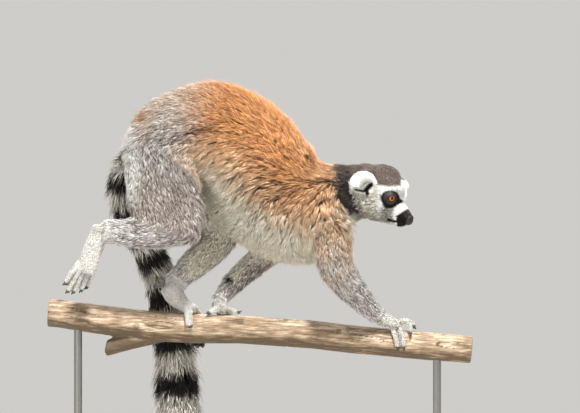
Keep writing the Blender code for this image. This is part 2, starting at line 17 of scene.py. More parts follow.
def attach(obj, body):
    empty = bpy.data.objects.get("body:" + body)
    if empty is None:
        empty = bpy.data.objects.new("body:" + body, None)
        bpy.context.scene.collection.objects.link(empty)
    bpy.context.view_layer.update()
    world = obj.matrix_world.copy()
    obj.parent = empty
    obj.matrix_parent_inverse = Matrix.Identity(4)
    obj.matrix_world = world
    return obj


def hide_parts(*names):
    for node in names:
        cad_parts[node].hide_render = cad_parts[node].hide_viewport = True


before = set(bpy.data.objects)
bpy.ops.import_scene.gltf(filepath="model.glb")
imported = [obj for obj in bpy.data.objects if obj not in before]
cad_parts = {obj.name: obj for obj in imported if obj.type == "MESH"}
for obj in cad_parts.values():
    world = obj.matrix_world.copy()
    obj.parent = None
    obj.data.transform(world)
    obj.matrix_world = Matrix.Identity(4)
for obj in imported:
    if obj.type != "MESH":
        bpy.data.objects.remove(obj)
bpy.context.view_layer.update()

bl_info = {
    "name": "Ring-tailed Lemur",
    "version": (1, 0, 0),
    "blender": (4, 5, 0),
    "location": "3D View > Sidebar > Lemur",
    "description": "Skin, coat, eyes, nails, perch and stand of a life-size ring-tailed lemur",
    "category": "Add Mesh",
}

MM = 0.001
LIFT = 400.0

# Middle lines of the body's parts, in the way the hair lies, in millimetres from LIFT
SPINE = [(118, 0, 172), (92, 0, 166), (62, 0, 150), (34, 0, 158), (6, 0, 180), (-27, 0, 216)]
SPINE += [(-66, 0, 232), (-106, 0, 232), (-142, 0, 214), (-160, 0, 200)]
TAIL = [(-154, 0, 217), (-165, 0, 205), (-170, 3, 184), (-167, 9, 158), (-157, 20, 132), (-143, 34, 107)]
TAIL += [(-131, 46, 80), (-121, 53, 52), (-114, 55, 19), (-107, 54, -17), (-104, 51, -60), (-101, 47, -109)]
TAIL += [(-95, 43, -170), (-85, 39, -230), (-70, 36, -282), (-46, 34, -318), (-20, 32, -336)]
AXES = {
    "neck": [(130, 0, 174), (110, 0, 170), (90, 0, 166), (70, 0, 158)],
    "trunk": SPINE,
    "chest": SPINE,
    "thigh_right": [(-128, -26, 262), (-124, -38, 215), (-112, -46, 165), (-86, -50, 122)],
    "shank_right": [(-78, -50, 132), (-122, -50, 122), (-160, -48, 120), (-192, -46, 121)],
    "foot_right": [(-188, -46, 128), (-199, -46, 105), (-208, -47, 84), (-226, -48, 55)],
    "thigh_left": [(-122, 26, 256), (-104, 38, 205), (-68, 50, 154), (-42, 52, 118)],
    "shank_left": [(-40, 52, 122), (-58, 43, 101), (-84, 26, 78), (-110, 10, 54)],
    "foot_left": [(-114, 10, 56), (-104, 6, 42), (-90, 1, 31), (-76, -3, 24)],
    "upper_arm_right": [(56, -26, 178), (78, -40, 142), (88, -48, 110), (90, -50, 78)],
    "forearm_right": [(88, -50, 84), (104, -42, 61), (126, -28, 36), (147, -14, 16)],
    "hand_right": [(142, -16, 20), (156, -11, 12), (168, -11, 8), (186, -11, 6)],
    "upper_arm_left": [(56, 26, 168), (38, 40, 138), (20, 50, 108), (10, 50, 94)],
    "forearm_left": [(14, 50, 102), (-8, 40, 80), (-32, 22, 58), (-52, 5, 36)],
    "hand_left": [(-53, 6, 40), (-47, 2, 29), (-38, -2, 24), (-26, -3, 21)],
    "tail": TAIL,
}

# The head's own axes: x forward, y to the lemur's left, z up, in millimetres from HEAD_CENTRE
HEAD_CENTRE = (132, 0, 174)
HEAD_YAW = -12.0
NOSE_TIP = (55, 0, -37)
NOSE_CENTRE, NOSE_SIZE = (49.6, 0, -38.0), (6.2, 6.8, 7.0)
EYE_CENTRE = (29, 14.5, -11)
EYE_GAZE = (0.56, 0.81, -0.17)
PUPIL_BLACK = (0.002, 0.002, 0.002)
WIDEST_ANGLE = 1.2  # off the gaze, in radians, that the iris's colours reach
EAR_CENTRE = (-1, 29, 4)
# Lines on the head as they are seen from the side
EAR_SLIT = [(-9.5, 0, -1.5), (-1.3, 0, -3.8), (3.5, 0, 0), (8, 0, 4)]
EAR_NOTCH = [(2.5, 0, -3.5), (5, 0, -9.5)]
EAR_RIM = [(-1, 0, 3.2), (1.5, 0, 6), (5, 0, 7.5), (9, 0, 7.2), (11.4, 0, 5.5)]
MOUTH = [(26, 0, -37.8), (33, 0, -39.8), (42, 0, -42), (49, 0, -43.5), (52, 0, -43.5)]

# Flesh nodes that the one skin stands for
LIMBS = ("thigh", "shank", "foot", "upper_arm", "forearm", "hand", "ear")
FLESH = ["head", "neck", "chest", "trunk", "tail_1", "tail_2", "tail_3", "tail_4"]
FLESH += [f"{limb}_{side}" for limb in LIMBS for side in ("left", "right")]

# Coat of each kind of part: share of its hair that lies above the skin, tuft width (mm), tufts per square
# centimetre before the whole is brought to the wanted number, and how far colours mingle (mm)
DEPTH, WIDTH, DENSITY, MINGLING = range(4)
COAT = {
    "head": (0.42, 0.70, 150, 0.7),
    "neck": (0.46, 0.90, 110, 3),
    "chest": (0.50, 0.95, 90, 5),
    "trunk": (0.52, 0.95, 88, 6),
    "thigh": (0.50, 0.95, 90, 4),
    "shank": (0.45, 0.85, 100, 3),
    "foot": (0.32, 0.65, 150, 1),
    "upper_arm": (0.46, 0.90, 95, 4),
    "forearm": (0.43, 0.80, 105, 1.5),
    "hand": (0.30, 0.60, 160, 1),
    "ear": (0.30, 0.75, 190, 0.4),
    "tail": (0.52, 1.25, 62, 2.5),
}
# Coat pieces: parts of the skin, which side of the middle plane (0 for both), and whether its tufts are locks
COAT_PIECES = {
    "coat_back_right": (("trunk",), -1, False),
    "coat_back_left": (("trunk",), 1, False),
    "coat_chest": (("chest",), 0, False),
    "coat_leg_right": (("thigh_right", "shank_right"), 0, False),
    "coat_leg_left": (("thigh_left", "shank_left"), 0, False),
    "coat_arms": (("upper_arm_right", "upper_arm_left", "forearm_right", "forearm_left"), 0, False),
    "coat_feet": (("foot_right", "foot_left", "hand_right", "hand_left"), 0, False),
    "coat_head": (("head", "ear_left", "ear_right"), 0, False),
    "coat_neck": (("neck",), 0, False),
    "coat_tail_upper": (("tail_1", "tail_2"), 0, True),
    "coat_tail_lower": (("tail_3", "tail_4"), 0, True),
}
COAT_SLOTS = {
    "coat_back": "rufous_fur",
    "coat_chest": "rufous_fur",
    "coat_feet": "white_fur",
    "coat_head": "head_fur",
    "coat_neck": "nape_fur",
    "coat_tail": "tail_fur",
}
SPECKLED = ("thigh", "shank", "upper_arm", "forearm")
COLOUR_NAMES = ("rufous", "tan", "cream", "grey", "pale_grey", "white", "cheek", "crown", "nape", "black")
COLOUR_NAMES += ("tail_white",)
MOST_TRIANGLES = 198000
TUFT_PATCH = 0.003  # across, on the coat's own unwrap

# Sections of a lock (share of its reach, share of its rise), their widths, and how high its tip rises
SHORT_LOCK = {"sections": ((0.42, 0.72),), "widths": (1.0,), "tip": 1.06}
LONG_LOCK = {"sections": ((0.22, 0.42), (0.62, 0.86)), "widths": (1.0, 0.75), "tip": 1.04}

# Each digit from its root to its tip. On the bark: (x, degrees round it from the top towards the lemur's
# right, height over it). The lifted foot's: (x, y, z).
BARK_DIGITS = {
    "foot_left": [
        [(-88, 10, 9), (-87, 38, 7), (-86, 62, 6), (-85, 82, 5.4)],
        [(-79, -14, 8), (-72, -50, 4.6), (-69, -95, 4), (-69, -140, 3.8), (-70, -172, 3.6)],
        [(-83, -18, 8), (-77, -55, 4.6), (-75, -100, 4), (-75, -145, 3.8), (-76, -176, 3.6)],
        [(-88, -20, 8), (-84, -55, 4.6), (-82, -100, 4), (-82, -145, 3.8), (-83, -176, 3.6)],
        [(-93, -22, 8), (-91, -55, 4.6), (-90, -95, 4), (-90, -130, 3.8), (-90, -158, 3.6)],
    ],
    "hand_right": [
        [(152, -22, 7), (154, -48, 5), (157, -75, 4.2), (159, -94, 4)],
        [(168, 0, 8), (178, -2, 12), (186, 6, 10.5), (188.5, 15, 3.9)],
        [(168, 10, 8.5), (178, 16, 13), (183, 34, 10.5), (183, 54, 4)],
        [(167, 20, 7.5), (171, 48, 6), (174, 78, 4.6), (175, 105, 4)],
        [(160, 24, 7), (163, 54, 5.5), (166, 82, 4.4), (167.5, 107, 4)],
    ],
    "hand_left": [
        [(-52, 10, 7.5), (-59, 18, 5.4), (-64, 28, 4)],
        [(-44, 6, 8.5), (-37, 4, 7), (-29, 4, 4.4), (-24, 5, 3.9)],
        [(-44, -12, 8), (-37, -34, 5.4), (-33, -58, 4.2), (-31, -80, 3.9)],
        [(-47, -18, 7.5), (-42, -48, 5), (-39, -78, 4.2), (-38, -104, 3.9)],
        [(-51, -20, 7), (-50, -50, 4.8), (-48, -78, 4.2), (-47, -98, 3.9)],
    ],
}
FREE_DIGITS = {
    "foot_right": [
        [(-198, -42, 84), (-203, -41, 68), (-210, -38, 53)],
        [(-206, -45, 76), (-211, -44, 61), (-216, -41, 49)],
        [(-211, -47, 75), (-219, -47, 60), (-225, -44, 47)],
        [(-216, -49, 76), (-225, -50, 61), (-232, -48, 48)],
        [(-219, -51, 82), (-228, -53, 70), (-235, -52, 58)],
    ],
}
WITH_DIGITS = (*BARK_DIGITS, *FREE_DIGITS)

# The branch's middle line (x, z), its knots (x, degrees round it, size), and its bark's radius for the digits
BRANCH_LINE = [(-258, 22), (-195, 14), (-134, 6), (-73, 2.4), (-24, 1.8), (61, -4), (122, -11), (207, -18.5)]
BRANCH_LINE += [(258, -23)]
KNOTS = [(-24, 52, 3.4), (-243, 8, 4.2), (38, 118, 3), (96, 62, 2.6), (-150, 95, 3.2), (150, 150, 3)]
BRANCH_RADIUS = 17.2

# How the skin is drawn in from the CAD flesh, and how deep its folds, mouth and clefts are, in metres
SKIN_SWELL, SKIN_STEPS = 0.35 * MM, 8
FOLD_DEPTH, MOUTH_DEPTH, CLEFT_DEPTH = 0.0045, 0.0009, 0.0021
# Width of the clefts, and of the painted shade drawn along them on the hands and feet
CLEFT_WIDTH, CLEFT_SHADE_WIDTH = 0.0026, 0.0016
# The clefts start this far from a digit's middle line, and end this far behind its tip
DIGIT_EDGE, TOE_LENGTH = (-0.0065, -0.0050), (-0.026, -0.016)
SOCKET_DEPTH, SOCKET_REACH = 7.0, 16  # millimetres from the middle of the eye

# Short hair and long hair, in metres, and the shares of locks that stray or lie under the others
HAIR_RANGE = (0.003, 0.014)
STRAYS, UNDER_HAIRS = 0.09, 0.2

# The black rings of the tail: how many, and where these ones lie along it, in millimetres
TAIL_RINGS = 12
RING_NUMBERS, RING_PLACES = (0, 4, 5, 11), (10, 148, 202, 538)
FIRST_RING_HALF, RING_GROWTH, WIDEST_RING_HALF = 7.0, 1.2, 14.0
BLACK_TIP = (568, 578)

# Small parts, in metres: nails along, across and through, lids, and the grid of the wood
NAIL_SIZE, THUMB_NAIL = (0.0014, 0.0011, 0.0006), 1.15
FREE_NAIL_WAY = (-0.55, -0.6, 0.35)
LID_GAP, LID_THICKNESS = 0.0003, 0.0008
UPPER_LID, LOWER_LID = 0.42, 0.88
CORNEA_RISE = 0.0007
WOOD_CELL = 0.0013
LEATHER_ROUGHNESS = 0.62

# Lights: place, size, and power as a share of the key light's or the fill light's
LIGHTS = {
    "key_light": ((0.35, -1.35, 2.95), 0.4, "key_power", 1.0),
    "fill_light": ((-2.2, -2.4, 1.0), 1.8, "fill_power", 1.0),
    "back_light": ((-0.4, 2.2, 2.2), 1.2, "key_power", 0.45),
}
LIGHT_AIM = (0, 0, 0.5)
CAMERA_PLACE, CAMERA_LENS, CAMERA_SENSOR = (0.0366, -3.8, 0.5519), 193.3, 36.0


def linear(colour):
    """An sRGB hex colour as three linear values."""
    channels = [int(colour[i : i + 2], 16) / 255 for i in (0, 2, 4)]
    return tuple(c / 12.92 if c <= 0.04045 else ((c + 0.055) / 1.055) ** 2.4 for c in channels)


def colour_setting(name, colour, description):
    """A colour that the sidebar shows."""
    return bpy.props.FloatVectorProperty(
        name=name, description=description, default=linear(colour), size=3, min=0, max=1, subtype="COLOR"
    )


def length_setting(name, millimetres, description):
    """A length that the sidebar shows."""
    return bpy.props.FloatProperty(
        name=name, description=description, default=millimetres * MM, min=0, unit="LENGTH", precision=4
    )


class LemurSkinSettings(bpy.types.PropertyGroup):
    cell: length_setting("Cell", 1.15, "Size of the grid that the skin is drawn on")
    triangles: bpy.props.IntProperty(
        name="Triangles", description="Triangles left in the finished skin", default=186000, min=20000
    )


class LemurCoatSettings(bpy.types.PropertyGroup):
    tufts: bpy.props.IntProperty(
        name="Tufts", description="Tufts in the whole coat", default=235000, min=1000
    )
    seed: bpy.props.IntProperty(name="Seed", description="Start of the random draws", default=7, min=0)
    back_hair: length_setting("Back", 17, "Hair length on the back and flanks")
    leg_hair: length_setting("Legs", 13, "Hair length on the thighs and shoulders")
    shin_hair: length_setting("Shins", 9, "Hair length on the shanks and forearms")
    hand_hair: length_setting("Hands", 3.6, "Hair length on the hands and feet")
    face_hair: length_setting("Face", 3.4, "Hair length round the eyes and on the muzzle")
    crown_hair: length_setting("Crown", 9, "Hair length on the crown and cheeks")
    ear_hair: length_setting("Ears", 3.8, "Hair length on the ears")
    tail_hair: length_setting("Tail", 27, "Hair length on the tail")
    rufous: colour_setting("Rufous", "BC8453", "Middle of the back")
    tan: colour_setting("Tan", "DDB48E", "Flanks and shoulders")
    cream: colour_setting("Cream", "E2DAC8", "Belly and inner sides of the limbs")
    grey: colour_setting("Grey", "B2A59D", "Hips and thighs")
    pale_grey: colour_setting("Pale grey", "B8B2AD", "Shanks and forearms")
    white: colour_setting("White", "F1EFEA", "Face, ears, hands and feet")
    cheek: colour_setting("Cheek", "B0AD9F", "Cheeks and throat")
    crown: colour_setting("Crown", "6A5D56", "Cap of the head")
    nape: colour_setting("Nape", "302A26", "Band behind the ears")
    black: colour_setting("Black", "141211", "Eye patches, muzzle and tail rings")
    # Painted shade: the tail's white rings are greyed, as though in shade.
    tail_white: colour_setting("Tail white", "C4C0B4", "Pale rings of the tail")


class LemurFaceSettings(bpy.types.PropertyGroup):
    eye_radius: length_setting("Eye radius", 8, "Radius of the eyeball")
    iris_radius: length_setting("Iris radius", 3.9, "Radius of the iris")
    pupil_radius: length_setting("Pupil radius", 1.9, "Radius of the pupil")
    lid_opening: bpy.props.FloatProperty(
        name="Lid opening",
        description="Half angle of the gap between the lids, across the eye",
        default=math.radians(34),
        subtype="ANGLE",
    )
    iris: colour_setting("Iris", "96430A", "Iris at its rim")
    iris_inner: colour_setting("Iris middle", "D47A12", "Iris round the pupil")
    leather: colour_setting("Leather", "1A1716", "Nose, lids and pads")
    nail: colour_setting("Nail", "2A2422", "Nails")


class LemurPerchSettings(bpy.types.PropertyGroup):
    grain_depth: length_setting("Grain depth", 0.35, "Depth of the long grain of the branch")
    crack_depth: length_setting("Crack depth", 0.7, "Depth of the drying cracks")
    wood_light: colour_setting("Wood, light", "DAC8B1", "Weathered ridges of the branch")
    wood_dark: colour_setting("Wood, dark", "957F66", "Grooves of the branch")
    base: colour_setting("Base", "3D2C21", "Stained board of the stand")
    steel: colour_setting("Steel", "8E8D8A", "Rods of the stand")


class LemurStageSettings(bpy.types.PropertyGroup):
    floor: colour_setting("Floor", "DEDCD8", "Floor of the studio")
    floor_radius: length_setting("Floor radius", 3000, "Radius of the floor")
    key_power: bpy.props.FloatProperty(
        name="Key light", description="Power of the main light", default=160, unit="POWER"
    )
    fill_power: bpy.props.FloatProperty(
        name="Fill light", description="Power of the fill light", default=20, unit="POWER"
    )
    world: bpy.props.FloatProperty(
        name="World", description="Strength of the light all round", default=0.85, min=0
    )


SETTINGS = {
    "lemur_skin": LemurSkinSettings,
    "lemur_coat": LemurCoatSettings,
    "lemur_face": LemurFaceSettings,
    "lemur_perch": LemurPerchSettings,
    "lemur_stage": LemurStageSettings,
}


# Places and fields


def unit(vectors):
    """Each row at length 1."""
    return vectors / np.maximum(np.linalg.norm(vectors, axis=-1, keepdims=True), 1e-12)


def dot(a, b):
    """The dot product of each row."""
    return np.sum(a * b, axis=-1)


def ramp(values, low, high):
    """0 at low, 1 at high, and a smooth step between them."""
    share = np.clip((values - low) / (high - low), 0, 1)
    return share * share * (3 - 2 * share)


def fade(values, width):
    """1 at 0, falling off on both sides over this width."""
    return np.exp(-((values / width) ** 2))


def mix(first, second, share):
    """Rows of the first colour, turned to the second by share."""
    share = np.asarray(share)[..., None]
    return np.asarray(first) * (1 - share) + np.asarray(second) * share


def placed(points):
    """Points of the body tables, in metres in the model's frame."""
    return (np.array(points, float) + (0, 0, LIFT)) * MM


def head_matrix():
    """From the head's own axes, in millimetres, to the frame."""
    turn = Matrix.Rotation(math.radians(HEAD_YAW), 4, "Z")
    return Matrix.Translation(Vector(placed(HEAD_CENTRE))) @ turn @ Matrix.Scale(MM, 4)


def moved_by(matrix, points):
    """Points moved by a matrix."""
    rows = np.array(matrix)
    return np.asarray(points, float) @ rows[:3, :3].T + rows[:3, 3]


def in_head(points):
    """Points of the frame in the head's own axes."""
    return moved_by(head_matrix().inverted(), points)


def out_of_head(ways):
    """Ways in the head's own axes, turned to the frame."""
    return ways @ np.array(head_matrix().to_3x3().normalized()).T


def from_side(local, line):
    """What along says of a line on the head, seen from the side."""
    return along(local * (1, 0, 1), np.array(line, float))


def wander(points, size, seed):
    """Smooth random values from -1 to 1 that change over about this size."""
    cell = np.asarray(points) / size + 1000.0
    low = np.floor(cell).astype(np.uint64)
    share = cell - low
    share = share * share * (3 - 2 * share)
    total = np.zeros(len(cell))
    for corner in range(8):
        step = np.array([corner >> k & 1 for k in range(3)], np.uint64)
        at = low + step
        mark = at[:, 0] * np.uint64(73856093) ^ at[:, 1] * np.uint64(19349663)
        mark = mark ^ at[:, 2] * np.uint64(83492791)
        mark = (mark ^ np.uint64(seed * 2654435761 % 2**32)) * np.uint64(1103515245)
        value = (mark >> np.uint64(12) & np.uint64(0xFFFF)).astype(float) / 32767.5 - 1
        weight = np.prod(np.where(step.astype(bool), share, 1 - share), axis=1)
        total += value * weight
    return total


def axis_of(part):
    """The middle line of a flesh node, in metres."""
    if part == "head":
        return moved_by(head_matrix(), [NOSE_TIP, (30, 0, -14), (0, 0, 0), (-34, 0, 4)])
    if part.startswith("ear"):
        side = 1 if part.endswith("left") else -1
        x, y, z = EAR_CENTRE
        return moved_by(head_matrix(), [(x, y * side, z - 18), (x, y * side, z + 18)])
    return placed(AXES["tail" if part.startswith("tail") else part])


def along(points, axis):
    """Distance to the axis, its nearest point and direction there, and how far along it that is."""
    steps = np.diff(axis, axis=0)
    lengths = np.linalg.norm(steps, axis=1)
    before = np.concatenate([[0], np.cumsum(lengths)])
    ways = unit(np.gradient(axis, axis=0))
    best = np.full(len(points), np.inf)
    foot, way, far = np.zeros_like(points), np.zeros_like(points), np.zeros(len(points))
    for i, step in enumerate(steps):
        share = np.clip((points - axis[i]) @ step / lengths[i] ** 2, 0, 1)[:, None]
        near = axis[i] + share * step
        gap = np.linalg.norm(points - near, axis=1)
        closer = gap < best
        best[closer] = gap[closer]
        foot[closer] = near[closer]
        way[closer] = (ways[i] * (1 - share) + ways[i + 1] * share)[closer]
        far[closer] = (before[i] + share[:, 0] * lengths[i])[closer]
    return best, foot, unit(way), far


def kind_of(part):
    """What sort of part a flesh node is, as the coat's table names it."""
    return next(kind for kind in COAT if part.startswith(kind))


def among(parts, *kinds):
    """Which points belong to these kinds of part."""
    return np.isin(parts, [index for index, part in enumerate(FLESH) if kind_of(part) in kinds])


def each_part(parts, names=None):
    """Every flesh node that has points here, or every one of these nodes, with which points are its own."""
    for part in names or FLESH:
        mine = parts == FLESH.index(part)
        if mine.any():
            yield part, mine


def coat_value(parts, column):
    """A column of the coat's table at each point."""
    return np.array([COAT[kind_of(part)][column] for part in FLESH])[parts]


class Surface:
    """A mesh's points, normals, edges and triangles as arrays."""

    def __init__(self, mesh):
        mesh.calc_loop_triangles()
        self.points = read(mesh.vertices, "co", 3)
        self.normals = read(mesh.vertex_normals, "vector", 3)
        self.edges = read(mesh.edges, "vertices", 2, np.int32)
        self.triangles = read(mesh.loop_triangles, "vertices", 3, np.int32)

    def eased(self, values, rounds, share=0.5):
        """Values of the points, each brought towards its neighbours' mean."""
        values = np.array(values, float)
        flat = values.reshape(len(values), -1)
        a, b = self.edges.T
        count = np.bincount(a, minlength=len(flat)) + np.bincount(b, minlength=len(flat))
        count = np.maximum(count, 1)
        share = np.broadcast_to(share, len(flat))
        for _ in range(rounds):
            for k in range(flat.shape[1]):
                total = np.bincount(a, flat[b, k], len(flat)) + np.bincount(b, flat[a, k], len(flat))
                flat[:, k] += (total / count - flat[:, k]) * share
        return flat.reshape(values.shape)


def read(items, name, width, kind=np.float32):
    """A property of every item as an array."""
    values = np.empty(len(items) * width, kind)
    items.foreach_get(name, values)
    values = values.reshape(-1, width) if width > 1 else values
    return values.astype(float) if kind is np.float32 else values


def store(mesh, name, values):
    """Values of the points as an attribute of the mesh."""
    kinds = {1: ("FLOAT", "value"), 3: ("FLOAT_VECTOR", "vector"), 4: ("FLOAT_COLOR", "color")}
    kind, field = kinds[1 if values.ndim == 1 else values.shape[1]]
    made = mesh.attributes.get(name) or mesh.attributes.new(name, kind, "POINT")
    made.data.foreach_set(field, values.astype(np.float32).ravel())


def stored(mesh, name, width, field):
    """An attribute of the mesh as an array."""
    return read(mesh.attributes[name].data, field, width)


# Objects


def only(*things):
    """Selects these objects and makes the first the active one."""
    bpy.ops.object.select_all(action="DESELECT")
    for thing in things:
        thing.select_set(True)
    bpy.context.view_layer.objects.active = things[0]
    return things[0]


def finished(name, thing, material, slot, *nodes):
    """Names a piece, puts its place into its mesh, gives it its finish, and hides the CAD nodes that it
    replaces. Its slot is not used.
    """
    only(thing)
    bpy.ops.object.transform_apply(location=True, rotation=True, scale=True)
    thing.name = thing.data.name = name
    thing.data.materials.clear()
    thing.data.materials.append(material)
    thing.data.polygons.foreach_set("use_smooth", np.ones(len(thing.data.polygons), bool))
    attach(thing, "root")
    if nodes:
        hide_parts(*nodes)
    return thing


def copied(*nodes):
    """One object that holds merged copies of CAD nodes."""
    made = []
    for node in nodes:
        thing = bpy.data.objects.new(f"{node}_copy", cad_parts[node].data.copy())
        bpy.context.scene.collection.objects.link(thing)
        made.append(thing)
    whole = only(*made)
    if len(made) > 1:
        bpy.ops.object.join()
    bpy.ops.object.mode_set(mode="EDIT")
    bpy.ops.mesh.select_all(action="SELECT")
    bpy.ops.mesh.remove_doubles(threshold=1e-6)
    bpy.ops.object.mode_set(mode="OBJECT")
    return whole


def new_ball(segments, rings, radius):
    """A sphere round the origin."""
    bpy.ops.object.select_all(action="DESELECT")
    bpy.ops.mesh.primitive_uv_sphere_add(segments=segments, ring_count=rings, radius=radius)
    return bpy.context.object


def with_modifier(thing, kind, **settings):
    """Adds a modifier with these settings and applies it."""
    only(thing)
    made = thing.modifiers.new(kind.lower(), kind)
    for name, value in settings.items():
        setattr(made, name, value)
    bpy.ops.object.modifier_apply(modifier=made.name)
    return thing


def mesh_of_triangles(name, points, triangles):
    """A new object with these points and triangles."""
    mesh = bpy.data.meshes.new(name)
    mesh.vertices.add(len(points))
    mesh.vertices.foreach_set("co", points.astype(np.float32).ravel())
    mesh.loops.add(triangles.size)
    mesh.loops.foreach_set("vertex_index", triangles.astype(np.int32).ravel())
    mesh.polygons.add(len(triangles))
    mesh.polygons.foreach_set("loop_start", np.arange(0, triangles.size, 3, dtype=np.int32))
    mesh.update(calc_edges=True)
    thing = bpy.data.objects.new(name, mesh)
    bpy.context.scene.collection.objects.link(thing)
    return thing


# Materials


def new_material(name):
    """A material, its nodes and its shader."""
    material = bpy.data.materials.new(name)
    material.use_nodes = True
    return material, material.node_tree, material.node_tree.nodes["Principled BSDF"]


def add(tree, kind, inputs=None, **settings):
    """Adds a node, with its settings, and with values or other nodes' sockets for its inputs."""
    made = tree.nodes.new(kind)
    for name, value in settings.items():
        setattr(made, name, value)
    for name, value in (inputs or {}).items():
        if isinstance(value, bpy.types.NodeSocket):
            tree.links.new(value, made.inputs[name])
        else:
            made.inputs[name].default_value = value
    return made


def rgba(colour):
    """An opaque colour."""
    return (*colour, 1)


def set_inputs(tree, shader, **inputs):
    """Sets or links the shader's sockets."""
    for name, value in inputs.items():
        socket = shader.inputs[name.replace("_", " ")]
        if isinstance(value, bpy.types.NodeSocket):
            tree.links.new(value, socket)
        else:
            socket.default_value = value


def hair_material():
    """Guard hair, which is keratin: dull along its length, with a soft glint where it turns."""
    material, tree, shader = new_material("guard_hair_keratin")
    colour = add(tree, "ShaderNodeAttribute", attribute_name="coat_colour")
    set_inputs(tree, shader, Base_Color=colour.outputs["Color"], Roughness=0.62, Specular_IOR_Level=0.28)
    return material


def under_fur_material():
    """Under fur on the skin: the coat's markings with painted shade, darker in the folds and under long hair,
    and a fine short nap.
    """
    material, tree, shader = new_material("under_fur")
    shaded_marking = add(tree, "ShaderNodeAttribute", attribute_name="shaded_marking")
    place = add(tree, "ShaderNodeTexCoord").outputs["Object"]
    nap = add(tree, "ShaderNodeTexNoise", {"Vector": place, "Scale": 900.0, "Detail": 3.0, "Roughness": 0.6})
    # Painted shade: the nap's low places are darker.
    shade = add(tree, "ShaderNodeMapRange", {"Value": nap.outputs["Fac"], "To Min": 0.55, "To Max": 1.15})
    scaled = {0: shaded_marking.outputs["Color"], "Scale": shade.outputs["Result"]}
    colour = add(tree, "ShaderNodeVectorMath", scaled, operation="SCALE")
    bump = add(tree, "ShaderNodeBump", {"Height": nap.outputs["Fac"], "Strength": 0.5, "Distance": 0.0006})
    set_inputs(tree, shader, Base_Color=colour.outputs[0], Normal=bump.outputs["Normal"])
    set_inputs(tree, shader, Roughness=0.8, Specular_IOR_Level=0.2)
    return material


def leather_material(colour):
    """Bare moist skin, as on a nose: near black, pebbled at half a millimetre with painted shade towards the
    pebbles' edges, and with a soft shine.
    """
    material, tree, shader = new_material("bare_black_skin")
    place = add(tree, "ShaderNodeTexCoord").outputs["Object"]
    pebbles = add(tree, "ShaderNodeTexVoronoi", {"Vector": place, "Scale": 1800.0})
    height = pebbles.outputs["Distance"]
    # Painted shade: darker towards the pebbles' edges, where the bump sinks.
    shade = add(tree, "ShaderNodeMapRange", {"Value": height, "To Min": 1.3, "To Max": 0.6})
    scaled = {0: tuple(colour), "Scale": shade.outputs["Result"]}
    toned = add(tree, "ShaderNodeVectorMath", scaled, operation="SCALE")
    bump = add(tree, "ShaderNodeBump", {"Height": height, "Strength": 0.4, "Distance": 0.0003}, invert=True)
    set_inputs(tree, shader, Base_Color=toned.outputs[0], Normal=bump.outputs["Normal"])
    set_inputs(tree, shader, Roughness=LEATHER_ROUGHNESS)
    return material


def eye_material(settings):
    """Glass-clear wet cornea over an amber iris with fine spokes and a dark rim."""
    material, tree, shader = new_material("wet_cornea_over_iris")
    off = add(tree, "ShaderNodeAttribute", attribute_name="off_axis").outputs["Fac"]
    round_eye = add(tree, "ShaderNodeAttribute", attribute_name="spoke").outputs["Fac"]
    spoke_noise = {"W": round_eye, "Scale": 14.0, "Detail": 3.0}
    spokes = add(tree, "ShaderNodeTexNoise", spoke_noise, noise_dimensions="1D").outputs["Fac"]
    radius = settings.eye_radius
    rim = math.asin(settings.iris_radius / radius)
    pupil = math.asin(settings.pupil_radius / radius)
    stops = [
        (0.0, PUPIL_BLACK),
        (pupil * 0.97, PUPIL_BLACK),
        (pupil * 1.08, tuple(settings.iris_inner)),
        (rim * 0.86, tuple(settings.iris)),
        (rim * 0.98, tuple(0.12 * c for c in settings.iris)),
        (rim * 1.06, (0.012, 0.008, 0.006)),
    ]
    scaled = add(tree, "ShaderNodeMapRange", {"Value": off, "From Max": WIDEST_ANGLE, "To Max": 1.0})
    ramp_node = add(tree, "ShaderNodeValToRGB", {"Fac": scaled.outputs["Result"]})
    band = ramp_node.color_ramp
    while len(band.elements) < len(stops):
        band.elements.new(0.5)
    for element, (angle, colour) in zip(band.elements, stops):
        element.position = angle / WIDEST_ANGLE
        element.color = rgba(colour)
    contrast = {"Value": spokes, "From Min": 0.3, "From Max": 0.7, "To Min": 0.7, "To Max": 1.2}
    shade = add(tree, "ShaderNodeMapRange", contrast)
    toned = {0: ramp_node.outputs["Color"], "Scale": shade.outputs["Result"]}
    colour = add(tree, "ShaderNodeVectorMath", toned, operation="SCALE")
    set_inputs(tree, shader, Base_Color=colour.outputs[0], Roughness=0.5, Specular_IOR_Level=0.0)
    set_inputs(tree, shader, Coat_Weight=1.0, Coat_Roughness=0.02, Coat_IOR=1.38)
    return material


def nail_material(colour):
    """Horn: dark, smooth along the nail and a little shiny."""
    material, tree, shader = new_material("nail_horn")
    place = add(tree, "ShaderNodeTexCoord").outputs["Object"]
    streaks = add(tree, "ShaderNodeTexNoise", {"Vector": place, "Scale": 1500.0, "Detail": 2.0})
    shade = add(tree, "ShaderNodeMapRange", {"Value": streaks.outputs["Fac"], "To Min": 0.7, "To Max": 1.5})
    scaled = {0: tuple(colour), "Scale": shade.outputs["Result"]}
    toned = add(tree, "ShaderNodeVectorMath", scaled, operation="SCALE")
    set_inputs(tree, shader, Base_Color=toned.outputs[0], Roughness=0.35)
    return material


